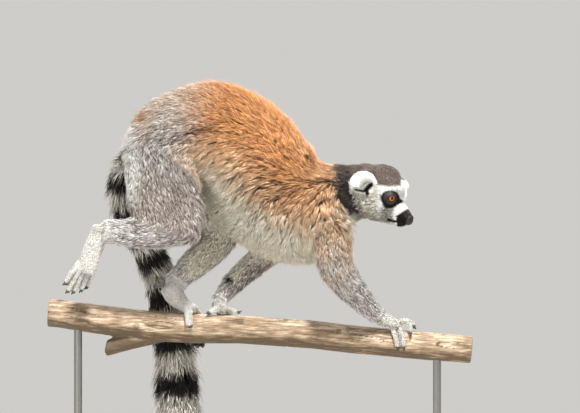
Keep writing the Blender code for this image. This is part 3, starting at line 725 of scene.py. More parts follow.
def branch_material(settings):
    """Barkless, sun-bleached hardwood: pale ridges, brown grooves along the grain, end rings, and a painted
    shade that darkens the underside.
    """
    material, tree, shader = new_material("weathered_hardwood")
    place = add(tree, "ShaderNodeTexCoord").outputs["Object"]
    stretched = add(tree, "ShaderNodeMapping", {"Vector": place, "Scale": (0.12, 1.0, 1.0)}).outputs["Vector"]
    fine = {"Vector": stretched, "Scale": 420.0, "Detail": 6.0, "Roughness": 0.65}
    grain = add(tree, "ShaderNodeTexNoise", fine).outputs["Fac"]
    broad = {"Vector": place, "Scale": 34.0, "Detail": 4.0, "Roughness": 0.6}
    blotch = add(tree, "ShaderNodeTexNoise", broad).outputs["Fac"]
    # The groove attribute also carries painted shade on the underside.
    groove = add(tree, "ShaderNodeAttribute", attribute_name="groove").outputs["Fac"]
    quiet = add(tree, "ShaderNodeMath", {0: blotch, 1: 0.5, 2: 0.25}, operation="MULTIPLY_ADD").outputs[0]
    both = add(tree, "ShaderNodeMath", {0: grain, 1: quiet}, operation="ADD").outputs[0]
    sunk_and_shaded = add(tree, "ShaderNodeMath", {0: groove, 1: -0.55, 2: both}, operation="MULTIPLY_ADD").outputs[0]
    share = add(tree, "ShaderNodeMapRange", {"Value": sunk_and_shaded, "From Min": 0.72, "From Max": 1.25})
    tones = add(tree, "ShaderNodeValToRGB", {"Fac": share.outputs["Result"]})
    band = tones.color_ramp
    band.elements.new(0.45)
    dark = tuple(0.4 * c for c in settings.wood_dark)
    for element, colour in zip(band.elements, (dark, tuple(settings.wood_dark), tuple(settings.wood_light))):
        element.color = rgba(colour)
    bump = add(tree, "ShaderNodeBump", {"Height": grain, "Strength": 0.5, "Distance": 0.0008})
    set_inputs(tree, shader, Base_Color=tones.outputs["Color"], Normal=bump.outputs["Normal"])
    set_inputs(tree, shader, Roughness=0.78, Specular_IOR_Level=0.3)
    return material


def board_material(colour):
    """Stained walnut under satin varnish: grain in long waves, and a thin even shine."""
    material, tree, shader = new_material("varnished_walnut")
    place = add(tree, "ShaderNodeTexCoord").outputs["Object"]
    long = add(tree, "ShaderNodeMapping", {"Vector": place, "Scale": (0.07, 1.0, 1.0)}).outputs["Vector"]
    bands = {"Vector": long, "Scale": 26.0, "Distortion": 9.0, "Detail": 4.0, "Detail Scale": 1.6}
    waves = add(tree, "ShaderNodeTexWave", bands, bands_direction="Y").outputs["Fac"]
    pores = add(tree, "ShaderNodeTexNoise", {"Vector": long, "Scale": 700.0, "Detail": 3.0}).outputs["Fac"]
    both = add(tree, "ShaderNodeMath", {0: waves, 1: pores}, operation="ADD").outputs[0]
    shade = add(tree, "ShaderNodeMapRange", {"Value": both, "From Max": 1.6, "To Min": 0.55, "To Max": 1.6})
    scaled = {0: tuple(colour), "Scale": shade.outputs["Result"]}
    toned = add(tree, "ShaderNodeVectorMath", scaled, operation="SCALE")
    bump = add(tree, "ShaderNodeBump", {"Height": pores, "Strength": 0.15, "Distance": 0.0002})
    set_inputs(tree, shader, Base_Color=toned.outputs[0], Normal=bump.outputs["Normal"])
    set_inputs(tree, shader, Roughness=0.45, Coat_Weight=0.5, Coat_Roughness=0.25)
    return material


def steel_material(colour):
    """Drawn steel rod: fine scratches along it, which spread its shine."""
    material, tree, shader = new_material("drawn_steel")
    place = add(tree, "ShaderNodeTexCoord").outputs["Object"]
    long = add(tree, "ShaderNodeMapping", {"Vector": place, "Scale": (1.0, 1.0, 0.03)}).outputs["Vector"]
    lines = add(tree, "ShaderNodeTexNoise", {"Vector": long, "Scale": 1600.0, "Detail": 3.0}).outputs["Fac"]
    rough = add(tree, "ShaderNodeMapRange", {"Value": lines, "To Min": 0.24, "To Max": 0.46})
    bump = add(tree, "ShaderNodeBump", {"Height": lines, "Strength": 0.12, "Distance": 0.0001})
    set_inputs(tree, shader, Base_Color=rgba(colour), Metallic=1.0)
    set_inputs(tree, shader, Roughness=rough.outputs["Result"], Normal=bump.outputs["Normal"])
    return material


def floor_material(colour):
    """Matt painted floor, with the faint unevenness of a roller."""
    material, tree, shader = new_material("matt_floor_paint")
    place = add(tree, "ShaderNodeTexCoord").outputs["Object"]
    stipple = add(tree, "ShaderNodeTexNoise", {"Vector": place, "Scale": 160.0, "Detail": 3.0}).outputs["Fac"]
    bump = add(tree, "ShaderNodeBump", {"Height": stipple, "Strength": 0.05, "Distance": 0.001})
    set_inputs(tree, shader, Base_Color=rgba(colour), Roughness=0.85, Normal=bump.outputs["Normal"])
    return material


# Skin


class Shell:
    """The outer surface of the CAD flesh, with the node that each place on it belongs to."""

    def __init__(self, mesh):
        surface = Surface(mesh)
        self.triangles = surface.triangles
        self.tree = BVHTree.FromPolygons(surface.points.tolist(), surface.triangles.tolist())
        points, faces, owners = [], [], []
        for index, node in enumerate(FLESH):
            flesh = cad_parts[node].data
            start = len(points)
            points += [v.co.copy() for v in flesh.vertices]
            faces += [[start + i for i in p.vertices] for p in flesh.polygons]
            owners += [index] * len(flesh.polygons)
        flesh_tree = BVHTree.FromPolygons(points, faces)
        self.parts = np.array([owners[flesh_tree.find_nearest(point)[2]] for point in surface.points])

    def nearest(self, points):
        """The flesh node of each point, and its distance from the outer surface."""
        found = [self.tree.find_nearest(point)[2:] for point in points]
        faces, gaps = (np.array(column) for column in zip(*found))
        return self.parts[self.triangles[faces.astype(int), 0]], np.maximum(gaps - SKIN_SWELL, 0)


def on_bark(x, degrees, height):
    """A point over the branch, in metres."""
    xs, zs = np.array(BRANCH_LINE).T
    turn, reach = math.radians(degrees), BRANCH_RADIUS + height
    return placed((x, -reach * math.sin(turn), np.interp(x, xs, zs) + reach * math.cos(turn)))


def branch_middle(x):
    """Height of the branch's middle line, from LIFT, in metres."""
    xs, zs = np.array(BRANCH_LINE).T * MM
    return np.interp(x, xs, zs)


def digit_lines(part):
    """The middle line of each digit of a hand or foot, in metres."""
    if part in FREE_DIGITS:
        return [placed(line) for line in FREE_DIGITS[part]]
    return [np.array([on_bark(*point) for point in line]) for line in BARK_DIGITS[part]]


def near_digits(points, part):
    """Distances to the nearest digit and the next, the nearest one's way, and the distance to its tip."""
    lines = digit_lines(part)
    found = [along(points, line) for line in lines]
    gaps = np.array([each[0] for each in found])
    order = np.argsort(gaps, axis=0)
    at = np.arange(len(points))
    ways = np.array([each[2] for each in found])[order[0], at]
    tips = np.array([line[-1] for line in lines])
    to_tip = np.min(np.linalg.norm(points[:, None] - tips[None], axis=2), axis=1)
    return gaps[order[0], at], gaps[order[1], at], ways, to_tip


def cleft(first, second, width):
    """0 to 1 midway between two digits, from the distances to both."""
    return fade(second - first, width) * ramp(-first, *DIGIT_EDGE)


def between_digits(points, parts):
    """0 to 1 in the clefts between the digits."""
    made = np.zeros(len(points))
    for part, mine in each_part(parts, WITH_DIGITS):
        first, second, _, to_tip = near_digits(points[mine], part)
        made[mine] = cleft(first, second, CLEFT_WIDTH) * ramp(-to_tip, *TOE_LENGTH)
    return made


def hair_length(points, parts, coat):
    """Hair length at each point."""
    lengths = {
        "head": coat.crown_hair,
        "neck": 0.75 * coat.back_hair,
        "chest": 0.9 * coat.back_hair,
        "trunk": coat.back_hair,
        "thigh": coat.leg_hair,
        "shank": coat.shin_hair,
        "foot": coat.hand_hair,
        "upper_arm": 0.9 * coat.leg_hair,
        "forearm": coat.shin_hair,
        "hand": coat.hand_hair,
        "ear": coat.ear_hair,
        "tail": coat.tail_hair,
    }
    made = np.array([lengths[kind_of(part)] for part in FLESH])[parts]
    made = made * (1 + 0.5 * shaggy(points, parts))
    face = in_head(points)
    head = among(parts, "head")
    made = made + head * ramp(face[:, 0], 2, 24) * (coat.face_hair - made)
    beside_ear = head * ramp(np.abs(face[:, 1]), 14, 19) * ramp(-face[:, 0], -4, 2)
    made = made * (1 - 0.5 * beside_ear)
    muzzle = head * ramp(face[:, 0], 34, 46)
    made = made * (1 - 0.5 * muzzle)
    for part, mine in each_part(parts, WITH_DIGITS):
        first, _, _, to_tip = near_digits(points[mine], part)
        made[mine] *= (0.4 + 0.6 * ramp(to_tip, 0.004, 0.012)) * (0.6 + 0.4 * ramp(first, 0.004, 0.0065))
    return made * (1 - 0.65 * among(parts, "ear") * ramp(-ear_gap(face), -5, -1.5))


def shaggy(points, parts):
    """0 to 1 on the lower flank behind the shoulder, where the coat hangs in long separate locks."""
    top = height_round(points, placed(SPINE))
    behind_shoulder = among(parts, "trunk", "chest") * ramp(points[:, 0], -0.085, -0.02)
    return behind_shoulder * ramp(-top, -0.55, 0.0) * ramp(top, -0.75, -0.45)


def upward(way):
    """The way square to this one that rises most."""
    return unit(np.array([0, 0, 1.0]) - way * way[:, 2:])


def height_round(points, axis):
    """1 at the top of a part that lies along this axis, 0 at its sides and -1 underneath."""
    _, foot, way, _ = along(points, axis)
    return dot(unit(points - foot), upward(way))


def ear_gap(local, lines=(EAR_SLIT, EAR_NOTCH)):
    """Distance in the head's axes from the dark opening of the nearer ear, seen from the side."""
    return np.min([from_side(local, line)[0] for line in lines], axis=0)


def ear_opening_shade(local):
    """0 to 1 in the opening of the ear, where its shade is painted in black, thicker at its front end."""
    thick = 1.5 + 1.3 * ramp(local[:, 0], -3, 5)
    return ramp(thick - ear_gap(local), -0.3, 0.3) * ramp(np.abs(local[:, 1]), 19, 21)


def coat_depth(points, parts, coat):
    """How far the skin lies under the coat's tips at each point."""
    depth = coat_value(parts, DEPTH) * hair_length(points, parts, coat)
    for part, mine in each_part(parts):
        if not part.startswith("ear"):
            room = along(points[mine], axis_of(part))[0]
            depth[mine] = np.minimum(depth[mine], 0.55 * room)
    return depth


def folds(points):
    """0 to 1: how deep the folds of the flank behind the shoulder are, and the crease over the hip. The skin
    and coat are also darkened by it as painted shade.
    """
    x, z = points[:, 0], points[:, 2]
    across = 0.76 * x - 0.65 * z
    bent = across + 0.003 * wander(points, 0.02, 31)
    stripe = np.maximum(np.cos(2 * np.pi * bent / 0.0145), 0) ** 1.6
    window = np.exp(-((x - 0.006) / 0.036) ** 2 - ((z - 0.558) / 0.034) ** 2)
    crease_line = 0.632 + 0.30 * (x + 0.104) + 0.002 * np.sin(x / 0.007)
    crease = fade(z - crease_line, 0.0045) * fade(x + 0.082, 0.026)
    side = ramp(np.abs(points[:, 1]), 0.012, 0.03)
    return np.clip(stripe * window * 1.1 + crease, 0, 1) * side


def off_eye(local, side):
    """The middle of an eye in the head's axes, the way there, how far, and the angle off its gaze."""
    centre = np.array(EYE_CENTRE) * (1, side, 1)
    gaze = unit(np.array(EYE_GAZE) * (1, side, 1))
    away = local - centre
    far = np.linalg.norm(away, axis=1)
    angle = np.degrees(np.arccos(np.clip(away @ gaze / np.maximum(far, 1e-9), -1, 1)))
    return centre, away, far, angle


def hollow_eyes(points):
    """Skin drawn back into a socket round each eye."""
    local = in_head(points)
    for side in (1, -1):
        centre, away, far, angle = off_eye(local, side)
        kept = ramp(angle, 46, 74)
        wanted = np.minimum(far, SOCKET_DEPTH + kept * (far - SOCKET_DEPTH))
        near = (far < SOCKET_REACH) & (angle < 76)
        scale = np.where(near, wanted / np.maximum(far, 1e-9), 1)
        local = centre + away * scale[:, None]
    return moved_by(head_matrix(), local)


def mouth_groove(points):
    """0 to 1: how near each point is to the line of the mouth."""
    return fade(from_side(in_head(points), MOUTH)[0], 0.9)


def spread(mesh, points):
    """Moves the mesh's points."""
    mesh.vertices.foreach_set("co", points.astype(np.float32).ravel())
    mesh.update()


def hollow_ears(points, parts):
    """Skin drawn in along the opening of each ear."""
    mine = among(parts, "ear")
    local = in_head(points)
    deep = 3.2 * fade(ear_gap(local), 2.2) * mine
    ridge = 0.8 * fade(ear_gap(local, (EAR_RIM,)), 1.2) * mine
    local[:, 1] -= np.sign(local[:, 1]) * (deep - ridge) * ramp(np.abs(local[:, 1]), 23, 27)
    return moved_by(head_matrix(), local)


def make_skin(settings, coat):
    """One closed skin under the coat, drawn in from the CAD flesh by the coat's depth."""
    skin = copied(*FLESH, "eye_left", "eye_right")
    with_modifier(skin, "DISPLACE", strength=SKIN_SWELL, mid_level=0.0, direction="NORMAL")
    with_modifier(skin, "REMESH", mode="VOXEL", voxel_size=settings.cell)
    shell = Shell(skin.data)
    surface = Surface(skin.data)
    depth = surface.eased(coat_depth(surface.points, shell.parts, coat), 40)
    depth += FOLD_DEPTH * surface.eased(folds(surface.points), 2)
    loose = np.clip((depth - MM) / (5 * MM), 0, 1)
    for _ in range(SKIN_STEPS):
        surface.points -= surface.normals * (depth / SKIN_STEPS)[:, None]
        surface.points = surface.eased(surface.points, 2, 0.5 * loose)
        spread(skin.data, surface.points)
        surface.normals = read(skin.data.vertex_normals, "vector", 3)
    with_modifier(skin, "REMESH", mode="VOXEL", voxel_size=settings.cell)
    surface = Surface(skin.data)
    points = hollow_eyes(surface.points)
    points -= surface.normals * (MOUTH_DEPTH * mouth_groove(points))[:, None]
    parts = shell.nearest(points)[0]
    points -= surface.normals * (CLEFT_DEPTH * between_digits(points, parts))[:, None]
    spread(skin.data, hollow_ears(points, parts))
    thin_out(skin, settings.triangles, shell)
    return skin, shell


def thin_out(skin, wanted, shell):
    """Fewer triangles on the trunk, limbs and tail, with the face, ears, hands and feet kept."""
    surface = Surface(skin.data)
    parts, _ = shell.nearest(surface.points)
    face = among(parts, "head") & (in_head(surface.points)[:, 0] > 0)
    kept = among(parts, "foot", "hand", "ear") | face
    group = skin.vertex_groups.new(name="coarse")
    group.add(np.flatnonzero(~kept).tolist(), 1.0, "REPLACE")
    ratio = wanted / len(surface.triangles)
    if ratio < 1:
        with_modifier(skin, "DECIMATE", ratio=ratio, vertex_group="coarse", use_collapse_triangulate=True)
    skin.vertex_groups.clear()


# Markings. A ramp says where one colour passes into the next: in metres of the frame, in millimetres of the
# head's own axes, or as a share of height_round or of a normal. wander makes that edge uneven.


def painted(points, normals, parts, coat):
    """The coat's colour at each point of the skin, linear."""
    colours = {name: np.array(getattr(coat, name)) for name in COLOUR_NAMES}
    made = np.zeros((len(points), 3))
    painters = {
        "head": head_colours,
        "ear": ear_colours,
        "neck": neck_colours,
        "chest": back_colours,
        "trunk": back_colours,
        "tail": tail_colours,
    }
    for part, mine in each_part(parts):
        painter = painters.get(kind_of(part), limb_colours)
        made[mine] = painter(points[mine], normals[mine], part, colours)
    return made


def back_colours(points, normals, part, c):
    """Rufous back, tan flank, cream belly, grey rump with painted light on its top, white seat and the first
    ring of the tail.
    """
    top = height_round(points, placed(SPINE))
    x, z = points[:, 0], points[:, 2]
    blotch = 0.10 * wander(points, 0.022, 3) + 0.05 * wander(points, 0.008, 4)
    made = mix(c["rufous"], c["tan"], ramp(-top + blotch, -0.5, 0.4))
    made = mix(made, c["tan"], 0.6 * ramp(x, 0.03, 0.08))
    made = mix(made, c["nape"], 0.5 * ramp(x + 0.05 * blotch, 0.080, 0.104))
    rump = ramp(-x - 0.12 * (0.645 - z) + 0.06 * blotch, 0.048, 0.118)
    # Painted light: the top of the rump is made up to 22 % lighter, as if lit from above.
    sunlit_rump_top = 1 + 0.22 * ramp(top, 0.2, 0.9)
    rump_hair = mix(c["pale_grey"], c["tan"], 0.10 + 0.22 * ramp(top, 0.1, 0.9)) * sunlit_rump_top[:, None]
    made = mix(made, rump_hair, rump)
    saddle = ramp(-x, 0.130, 0.144) * ramp(z, 0.640, 0.655)
    made = mix(made, c["rufous"], 0.8 * saddle)
    before_hip = np.maximum(ramp(x, -0.085, -0.066), ramp(-top, 0.85, 0.95))
    belly = ramp(-top + 0.5 * blotch, 0.58, 0.76) * before_hip
    fringe = ramp(-top + 0.6 * blotch, 0.28, 0.62) * before_hip
    made = mix(mix(made, c["cream"], 0.55 * fringe), c["cream"], belly)
    seat = ramp(-x + 0.02 * blotch, 0.145, 0.152) * ramp(-z, -0.652, -0.642)
    made = mix(made, mix(c["white"], c["cream"], 0.15), seat)
    root = ramp(-x, 0.158, 0.162) * ramp(-z, -0.628, -0.620)
    return mix(made, tail_colours(points, normals, part, c), root)


def limb_colours(points, normals, part, c):
    """Grey outer sides, cream inner sides, and white hands and feet with painted shade along the clefts
    between the digits.
    """
    side = 1 if part.endswith("left") else -1
    kind = kind_of(part)
    _, foot, _, far = along(points, axis_of(part))
    share = far / np.linalg.norm(np.diff(axis_of(part), axis=0), axis=1).sum()
    uneven = wander(points, 0.009, 5)
    inner = ramp(-side * normals[:, 1] + 0.15 * uneven, 0.1, 0.6)
    if kind == "thigh":
        seat = ramp(-points[:, 0], 0.138, 0.147) * ramp(points[:, 2], 0.540, 0.565)
        upper = mix(c["grey"], c["pale_grey"], 0.7 * ramp(points[:, 2] + 0.012 * uneven, 0.56, 0.62))
        made = mix(upper, mix(c["white"], c["cream"], 0.15), 0.95 * seat)
        return mix(made, c["cream"], ramp(-side * normals[:, 1] + 0.15 * uneven, 0.5, 0.95))
    if kind == "upper_arm":
        lower = ramp(share + 0.15 * uneven, 0.55, 1.15)
        behind = 0.45 * ramp(-normals[:, 0] + 0.3 * uneven, 0.1, 0.9)
        made = mix(c["tan"], c["pale_grey"], 0.10 + 0.90 * np.maximum(lower, behind))
        return mix(made, c["cream"], inner)
    if kind in ("shank", "forearm"):
        made = mix(c["grey"], c["pale_grey"], ramp(share, 0.0, 0.5))
        if kind == "forearm":
            made = mix(made, c["tan"], 0.45 * ramp(-share - 0.1 * uneven, -0.35, 0.0))
        front = ramp(normals[:, 0] * (1 if kind == "forearm" else -1) + 0.2 * uneven, -0.1, 0.7)
        made = mix(made, c["crown"], 0.55 * front * inner)
        made = mix(made, c["white"], (0.5 if kind == "forearm" else 0.8) * ramp(share, 0.66, 1.0))
        made = mix(made, c["cream"], 0.85 * inner * (1 - front) * (1 - ramp(share, 0.6, 0.9)))
        if part == "forearm_left":
            gap = np.linalg.norm((points - placed((-38, 0, 60)))[:, [0, 2]], axis=1)
            gap = np.where(points[:, 1] < foot[:, 1] + 0.004, gap, 1)
            made = mix(made, c["black"], ramp(-gap, -0.0050, -0.0036))
        return made
    made = mix(c["white"], c["cheek"], (0.5 if kind == "hand" else 0.25) + 0.3 * ramp(uneven, -0.2, 0.8))
    first, second, _, to_tip = near_digits(points, part)
    line = cleft(first, second, CLEFT_SHADE_WIDTH)
    # Painted shade: dark lines along the clefts between the digits, darker towards the tips.
    made = mix(made, c["nape"], (0.2 + 0.5 * ramp(-to_tip, *TOE_LENGTH)) * line)
    return mix(made, c["black"], 0.85 * ramp(-to_tip, -0.0052, -0.0036))


def tail_colours(points, normals, part, c):
    """Black rings and white ones greyed by painted shade, wider towards the black tip."""
    far = along(points, axis_of("tail"))[3] / MM
    far = far + 2.0 * wander(points, 0.008, 8)
    made = np.tile(c["tail_white"], (len(points), 1))
    for k in range(TAIL_RINGS):
        middle = np.interp(k, RING_NUMBERS, RING_PLACES)
        half = min(FIRST_RING_HALF + RING_GROWTH * k, WIDEST_RING_HALF)
        ring = ramp(half - np.abs(far - middle), -2.5, 2.5)
        made = mix(made, c["black"], ring)
    return mix(made, c["black"], ramp(far, *BLACK_TIP))


def neck_colours(points, normals, part, c):
    """Dark band behind the ears and cheeks, cream under the throat, tan where the shoulders start."""
    local = in_head(points)
    made = mix(c["nape"], c["crown"], 0.55 * ramp(normals[:, 2], 0.25, 0.8))
    made = mix(made, c["cream"], ramp(-normals[:, 2], 0.55, 0.85))
    return mix(made, c["tan"], ramp(-local[:, 0] + 5 * wander(points, 0.008, 9), 33, 46))


def head_colours(points, normals, part, c):
    """White face, grey cheeks, dark cap and nape, black eye patches and muzzle, and a painted highlight on
    the muzzle's top.
    """
    local = in_head(points)
    x, y, z = local[:, 0], np.abs(local[:, 1]), local[:, 2]
    uneven = wander(points, 0.006, 10)
    made = mix(c["white"], c["cheek"], ramp(-x, -26, -6) * ramp(-z, -4, 8))
    made = mix(made, c["cheek"], 0.6 * ramp(-z, 30, 38) * ramp(-x, -40, -20))
    under_eye = ramp(x, 17, 21) * ramp(-x, -34, -30) * ramp(-z, 21, 25) * ramp(y, 4, 8)
    made = mix(made, 0.5 * c["cheek"], 0.75 * under_eye)
    cap_edge = 3.0 + 1.0 * uneven + 2.5 * ramp(y, 14, 6) * ramp(x, 24, 34) - 30 * ramp(-x, 10, 24)
    cap = ramp(z, cap_edge - 2, cap_edge + 2) * ramp(-x + uneven, -45, -42)
    made = mix(made, c["crown"], cap)
    nape = ramp(-x + 1.2 * uneven, 13.0, 16.5) * ramp(z, -46, -36) * ramp(-z, -26, -4)
    made = mix(made, c["nape"], nape)
    muzzle = muzzle_mask(x, y, z, uneven)
    # Painted highlight: where the black muzzle faces up it turns towards grey.
    muzzle_top_highlight = mix(c["black"], 0.75 * c["crown"], ramp(normals[:, 2] + 0.2 * uneven, 0.0, 0.8))
    made = mix(made, muzzle_top_highlight, muzzle)
    made = mix(made, c["nape"], 0.6 * eye_patch(x + 2.6, y, z + 0.5))
    return mix(made, c["black"], eye_patch(x, y, z))


def eye_patch(x, y, z):
    """0 to 1 on the black patch round each eye, drawn out to a point towards the bridge of the nose."""
    forward = 0.83 * (x - EYE_CENTRE[0]) - 0.55 * (y - EYE_CENTRE[1])
    up = z - EYE_CENTRE[2]
    round_part = np.hypot((forward - 0.2) / 11.4, (up + 2.4) / 10.6)
    narrow = np.maximum(1 - (forward - 2) / 15.5, 0) * 9.0
    point = (forward > 2) & (np.abs(up + 4.5) < narrow)
    depth = (x - EYE_CENTRE[0]) * 0.58 + (y - EYE_CENTRE[1]) * 0.81
    near = depth > -9
    return np.maximum(ramp(-round_part, -1.04, -0.94), point * 1.0) * near


def muzzle_mask(x, y, z, uneven):
    """0 to 1 on the black end of the muzzle, which runs up to the bridge, and along the lips."""
    edge = 36.0 + 1.5 * np.maximum(z + 33.5, 0) + 0.7 * uneven
    lips = along(np.stack([x, 0 * y, z], axis=1), np.array(MOUTH, float))[0]
    return np.maximum(ramp(x - edge, -0.6, 1.0), ramp(-lips, -2.0, -1.2))


def ear_colours(points, normals, part, c):
    """White hair, with painted shade in black in the opening of the ear, and the grey edge of the fold over
    it.
    """
    local = in_head(points)
    made = np.tile(c["white"], (len(points), 1))
    made = mix(made, c["cheek"], ramp(-local[:, 2], 3, 8))
    outside = ramp(np.abs(local[:, 1]), 19, 21)
    made = mix(made, c["crown"], 0.6 * outside * ramp(-ear_gap(local, (EAR_RIM,)), -0.9, -0.3))
    made = mix(made, c["nape"], ramp(-local[:, 0], 15.5, 17.5))
    # Painted shade: the deep opening of the ear is painted black.
    return mix(made, c["black"], ear_opening_shade(local))


def lie_of_hair(points, normals, parts, surface):
    """The way that the hair lies at each point: off the nose, down the neck and limbs, along the tail."""
    ways = {"trunk": body_lie, "chest": body_lie, "head": head_lie, "ear": ear_lie}
    made = np.zeros_like(points)
    for part, mine in each_part(parts):
        way = ways.get(kind_of(part), limb_lie)
        made[mine] = way(points[mine], part)
    ears = among(parts, "ear")
    for _ in range(3):
        made -= normals * dot(made, normals)[:, None]
        made = surface.eased(unit(made), 6, np.where(ears, 0.06, 0.5))
    made -= normals * dot(made, normals)[:, None]
    return unit(made)


def limb_lie(points, part):
    """Hair along the limb, the digits or the tail."""
    way = along(points, axis_of(part))[2]
    if kind_of(part) in ("hand", "foot"):
        near, _, digit_way, _ = near_digits(points, part)
        way = mix(way, digit_way, ramp(-near, -0.006, -0.004))
    return way


def body_lie(points, part):
    """Hair back along the spine, fanning out and down over the flank and shoulder."""
    _, foot, way, _ = along(points, placed(SPINE))
    out = unit(points - foot)
    up = upward(way)
    top = dot(out, up)
    down = unit(out * top[:, None] - up)
    turn = (0.85 + 0.8 * ramp(points[:, 0], -0.07, 0.0)) * ramp(-top, -0.9, 0.45)
    return way * np.cos(turn)[:, None] + down * np.sin(turn)[:, None]


def head_lie(points, part):
    """Hair back from the nose, and down over the cheeks."""
    local = in_head(points)
    way = unit(local - np.array(NOSE_TIP) * (1, 0, 1))
    way[:, 2] -= 0.6 * ramp(-local[:, 2], 0, 15) * ramp(-local[:, 0], -25, 0)
    return out_of_head(way)


def ear_lie(points, part):
    """Hair away from the opening of the ear."""
    local = in_head(points)
    return out_of_head(unit(local * (1, 0, 1) - from_side(local, EAR_SLIT)[1]))


def dress_skin(skin, shell, coat):
    """Stores what the coat needs on the skin: part, room under the tips, hair length, lie, and markings with
    painted shade in the folds and under long hair.
    """
    surface = Surface(skin.data)
    points, normals = surface.points, surface.normals
    parts, room = shell.nearest(points)
    mesh = skin.data
    fold = folds(points)
    # Painted shade: the skin's colour is darkened in the folds of the flank and the crease over the hip.
    shaded_marking = surface.eased(painted(points, normals, parts, coat), 1) * (1 - 0.6 * fold)[:, None]
    hair = hair_length(points, parts, coat)
    # Painted shade between the hairs: the skin is darker under long hair.
    shade = 0.85 - 0.35 * ramp(hair, *HAIR_RANGE)
    store(mesh, "shaded_marking", np.hstack([shaded_marking * shade[:, None], np.ones((len(points), 1))]))
    store(mesh, "part", parts.astype(float))
    store(mesh, "room", surface.eased(room, 2))
    store(mesh, "hair", surface.eased(hair, 6))
    store(mesh, "fold", fold)
    store(mesh, "lie", lie_of_hair(points, normals, parts, surface))


# Coat


def lock_shape(sections):
    """Faces of a closed lock: a root, some three-cornered sections and a tip."""
    faces = [(0, 1, 3), (0, 3, 2), (0, 2, 1)]
    for k in range(sections - 1):
        a = 1 + 3 * k
        left, right, ridge = a, a + 1, a + 2
        for low, high in ((left, ridge), (ridge, right), (right, left)):
            faces += [(low, low + 3, high + 3), (low, high + 3, high)]
    a = 1 + 3 * (sections - 1)
    tip = a + 3
    faces += [(tip, a + 2, a), (tip, a + 1, a + 2), (tip, a, a + 1)]
    return np.array(faces)


def grown(roots, shape, rng):
    """The points of every lock, a row each: root, sections, and a tip that is drawn to its leader's."""
    p, n, lie, rise, length, width = (roots[k] for k in ("point", "normal", "lie", "rise", "length", "width"))
    side = np.cross(n, lie)
    reach = np.sqrt(np.maximum(length**2 - rise**2, (0.35 * length) ** 2))
    curl = rng.normal(0, 0.09, len(p)) * length
    tips = p + lie * reach[:, None] + n * (rise * shape["tip"])[:, None] + side * curl[:, None]
    shift = (tips[roots["leader"]] - tips) * roots["pull"][:, None]
    rows = [p - n * 0.0004]
    for (far, high), wide in zip(shape["sections"], shape["widths"]):
        middle = p + lie * (reach * far)[:, None] + n * (rise * high)[:, None]
        middle = middle + side * (curl * far**2)[:, None]
        middle = middle + shift * far**1.5
        half = side * (width * wide / 2)[:, None]
        rows += [middle - half, middle + half, middle + n * (width * wide * 0.32)[:, None]]
    rows.append(tips + shift)
    return np.stack(rows, axis=1)


def lock_tone_and_shade(shape, length):
    """How light each point of each lock is, from its darker root to its tip: partly the hair's own darker
    base, and partly painted shade deep in the coat, so the root is darker in long hair.
    """
    # Painted shade: the root is darker the longer the hair.
    root = 0.80 - 0.42 * ramp(length, *HAIR_RANGE)
    places = [0.0]
    for far, _ in shape["sections"]:
        places += [far, far, far + 0.08]
    places = np.array([*places, 1.0])
    return root[:, None] + (1.12 - root[:, None]) * places[None] ** 0.8


def lock_patch(shape):
    """Where each point of a lock lies on its patch of the unwrap."""
    half = TUFT_PATCH / 2
    rows = [(0, -half)]
    for far, _ in shape["sections"]:
        level = (far - 0.5) * TUFT_PATCH
        rows += [(-half, level), (half, level), (0, level + 0.1 * half)]
    return np.array([*rows, (0, half)])


class Coat:
    """What the skin says at each of its points, and where its triangles are."""

    def __init__(self, skin, settings):
        self.surface = Surface(skin.data)
        mesh = skin.data
        self.parts = np.rint(stored(mesh, "part", 1, "value")).astype(int)
        values = (stored(mesh, name, 1, "value") for name in ("room", "hair", "fold"))
        self.room, self.hair, self.fold = values
        self.lie = stored(mesh, "lie", 3, "vector")
        self.settings = settings
        triangles = self.surface.triangles
        corners = self.surface.points[triangles]
        crossed = np.cross(corners[:, 1] - corners[:, 0], corners[:, 2] - corners[:, 0])
        area = np.linalg.norm(crossed, axis=1) / 2
        first = self.surface.points[triangles[:, 0]]
        self.owner = self.parts[triangles[:, 0]]
        face = in_head(first)
        bare = np.maximum(bare_skin(face), ear_opening_shade(face))
        bare = np.maximum(bare, ramp(between_digits(first, self.owner), 0.5, 0.85))
        self.weight = area * coat_value(self.owner, DENSITY) * (1 - bare)
        self.middle_y = corners[:, :, 1].mean(axis=1)

    def triangles_of(self, parts, side):
        """The skin triangles of these parts on one side of the middle plane."""
        mine = np.isin(self.owner, [FLESH.index(part) for part in parts])
        return np.flatnonzero(mine & ((self.middle_y * side > 0) | (side == 0)))

    def roots(self, chosen, count, rng):
        """Roots of this many locks, spread over the chosen triangles."""
        total = np.cumsum(self.weight[chosen])
        draws = (np.arange(count) + rng.random(count)) / count * total[-1]
        picked = chosen[np.minimum(np.searchsorted(total, draws), len(chosen) - 1)]
        corner = self.surface.triangles[picked]
        a, b = rng.random(count), rng.random(count)
        over = a + b > 1
        a, b = np.where(over, 1 - a, a), np.where(over, 1 - b, b)
        shares = np.stack([1 - a - b, a, b], axis=1)

        def at(values):
            return np.einsum("nk,nk...->n...", shares, values[corner])

        normal = unit(at(self.surface.normals))
        lie = at(self.lie)
        lie = unit(lie - normal * dot(lie, normal)[:, None])
        return {
            "point": at(self.surface.points),
            "normal": normal,
            "lie": lie,
            "part": self.parts[corner[:, 0]],
            "room": at(self.room),
            "hair": at(self.hair),
            "fold": at(self.fold),
        }


def bare_skin(face):
    """0 to 1 where no hair grows: between the lids and on the nose pad."""
    bare = np.zeros(len(face))
    for side in (1, -1):
        _, _, far, angle = off_eye(face, side)
        bare = np.maximum(bare, (far < 14) * ramp(-angle, -52, -46))
    nose = np.linalg.norm((face - np.array(NOSE_CENTRE)) / (5.4, 6.2, 5.6), axis=1)
    return np.maximum(bare, ramp(-nose, -1.1, -1.0))


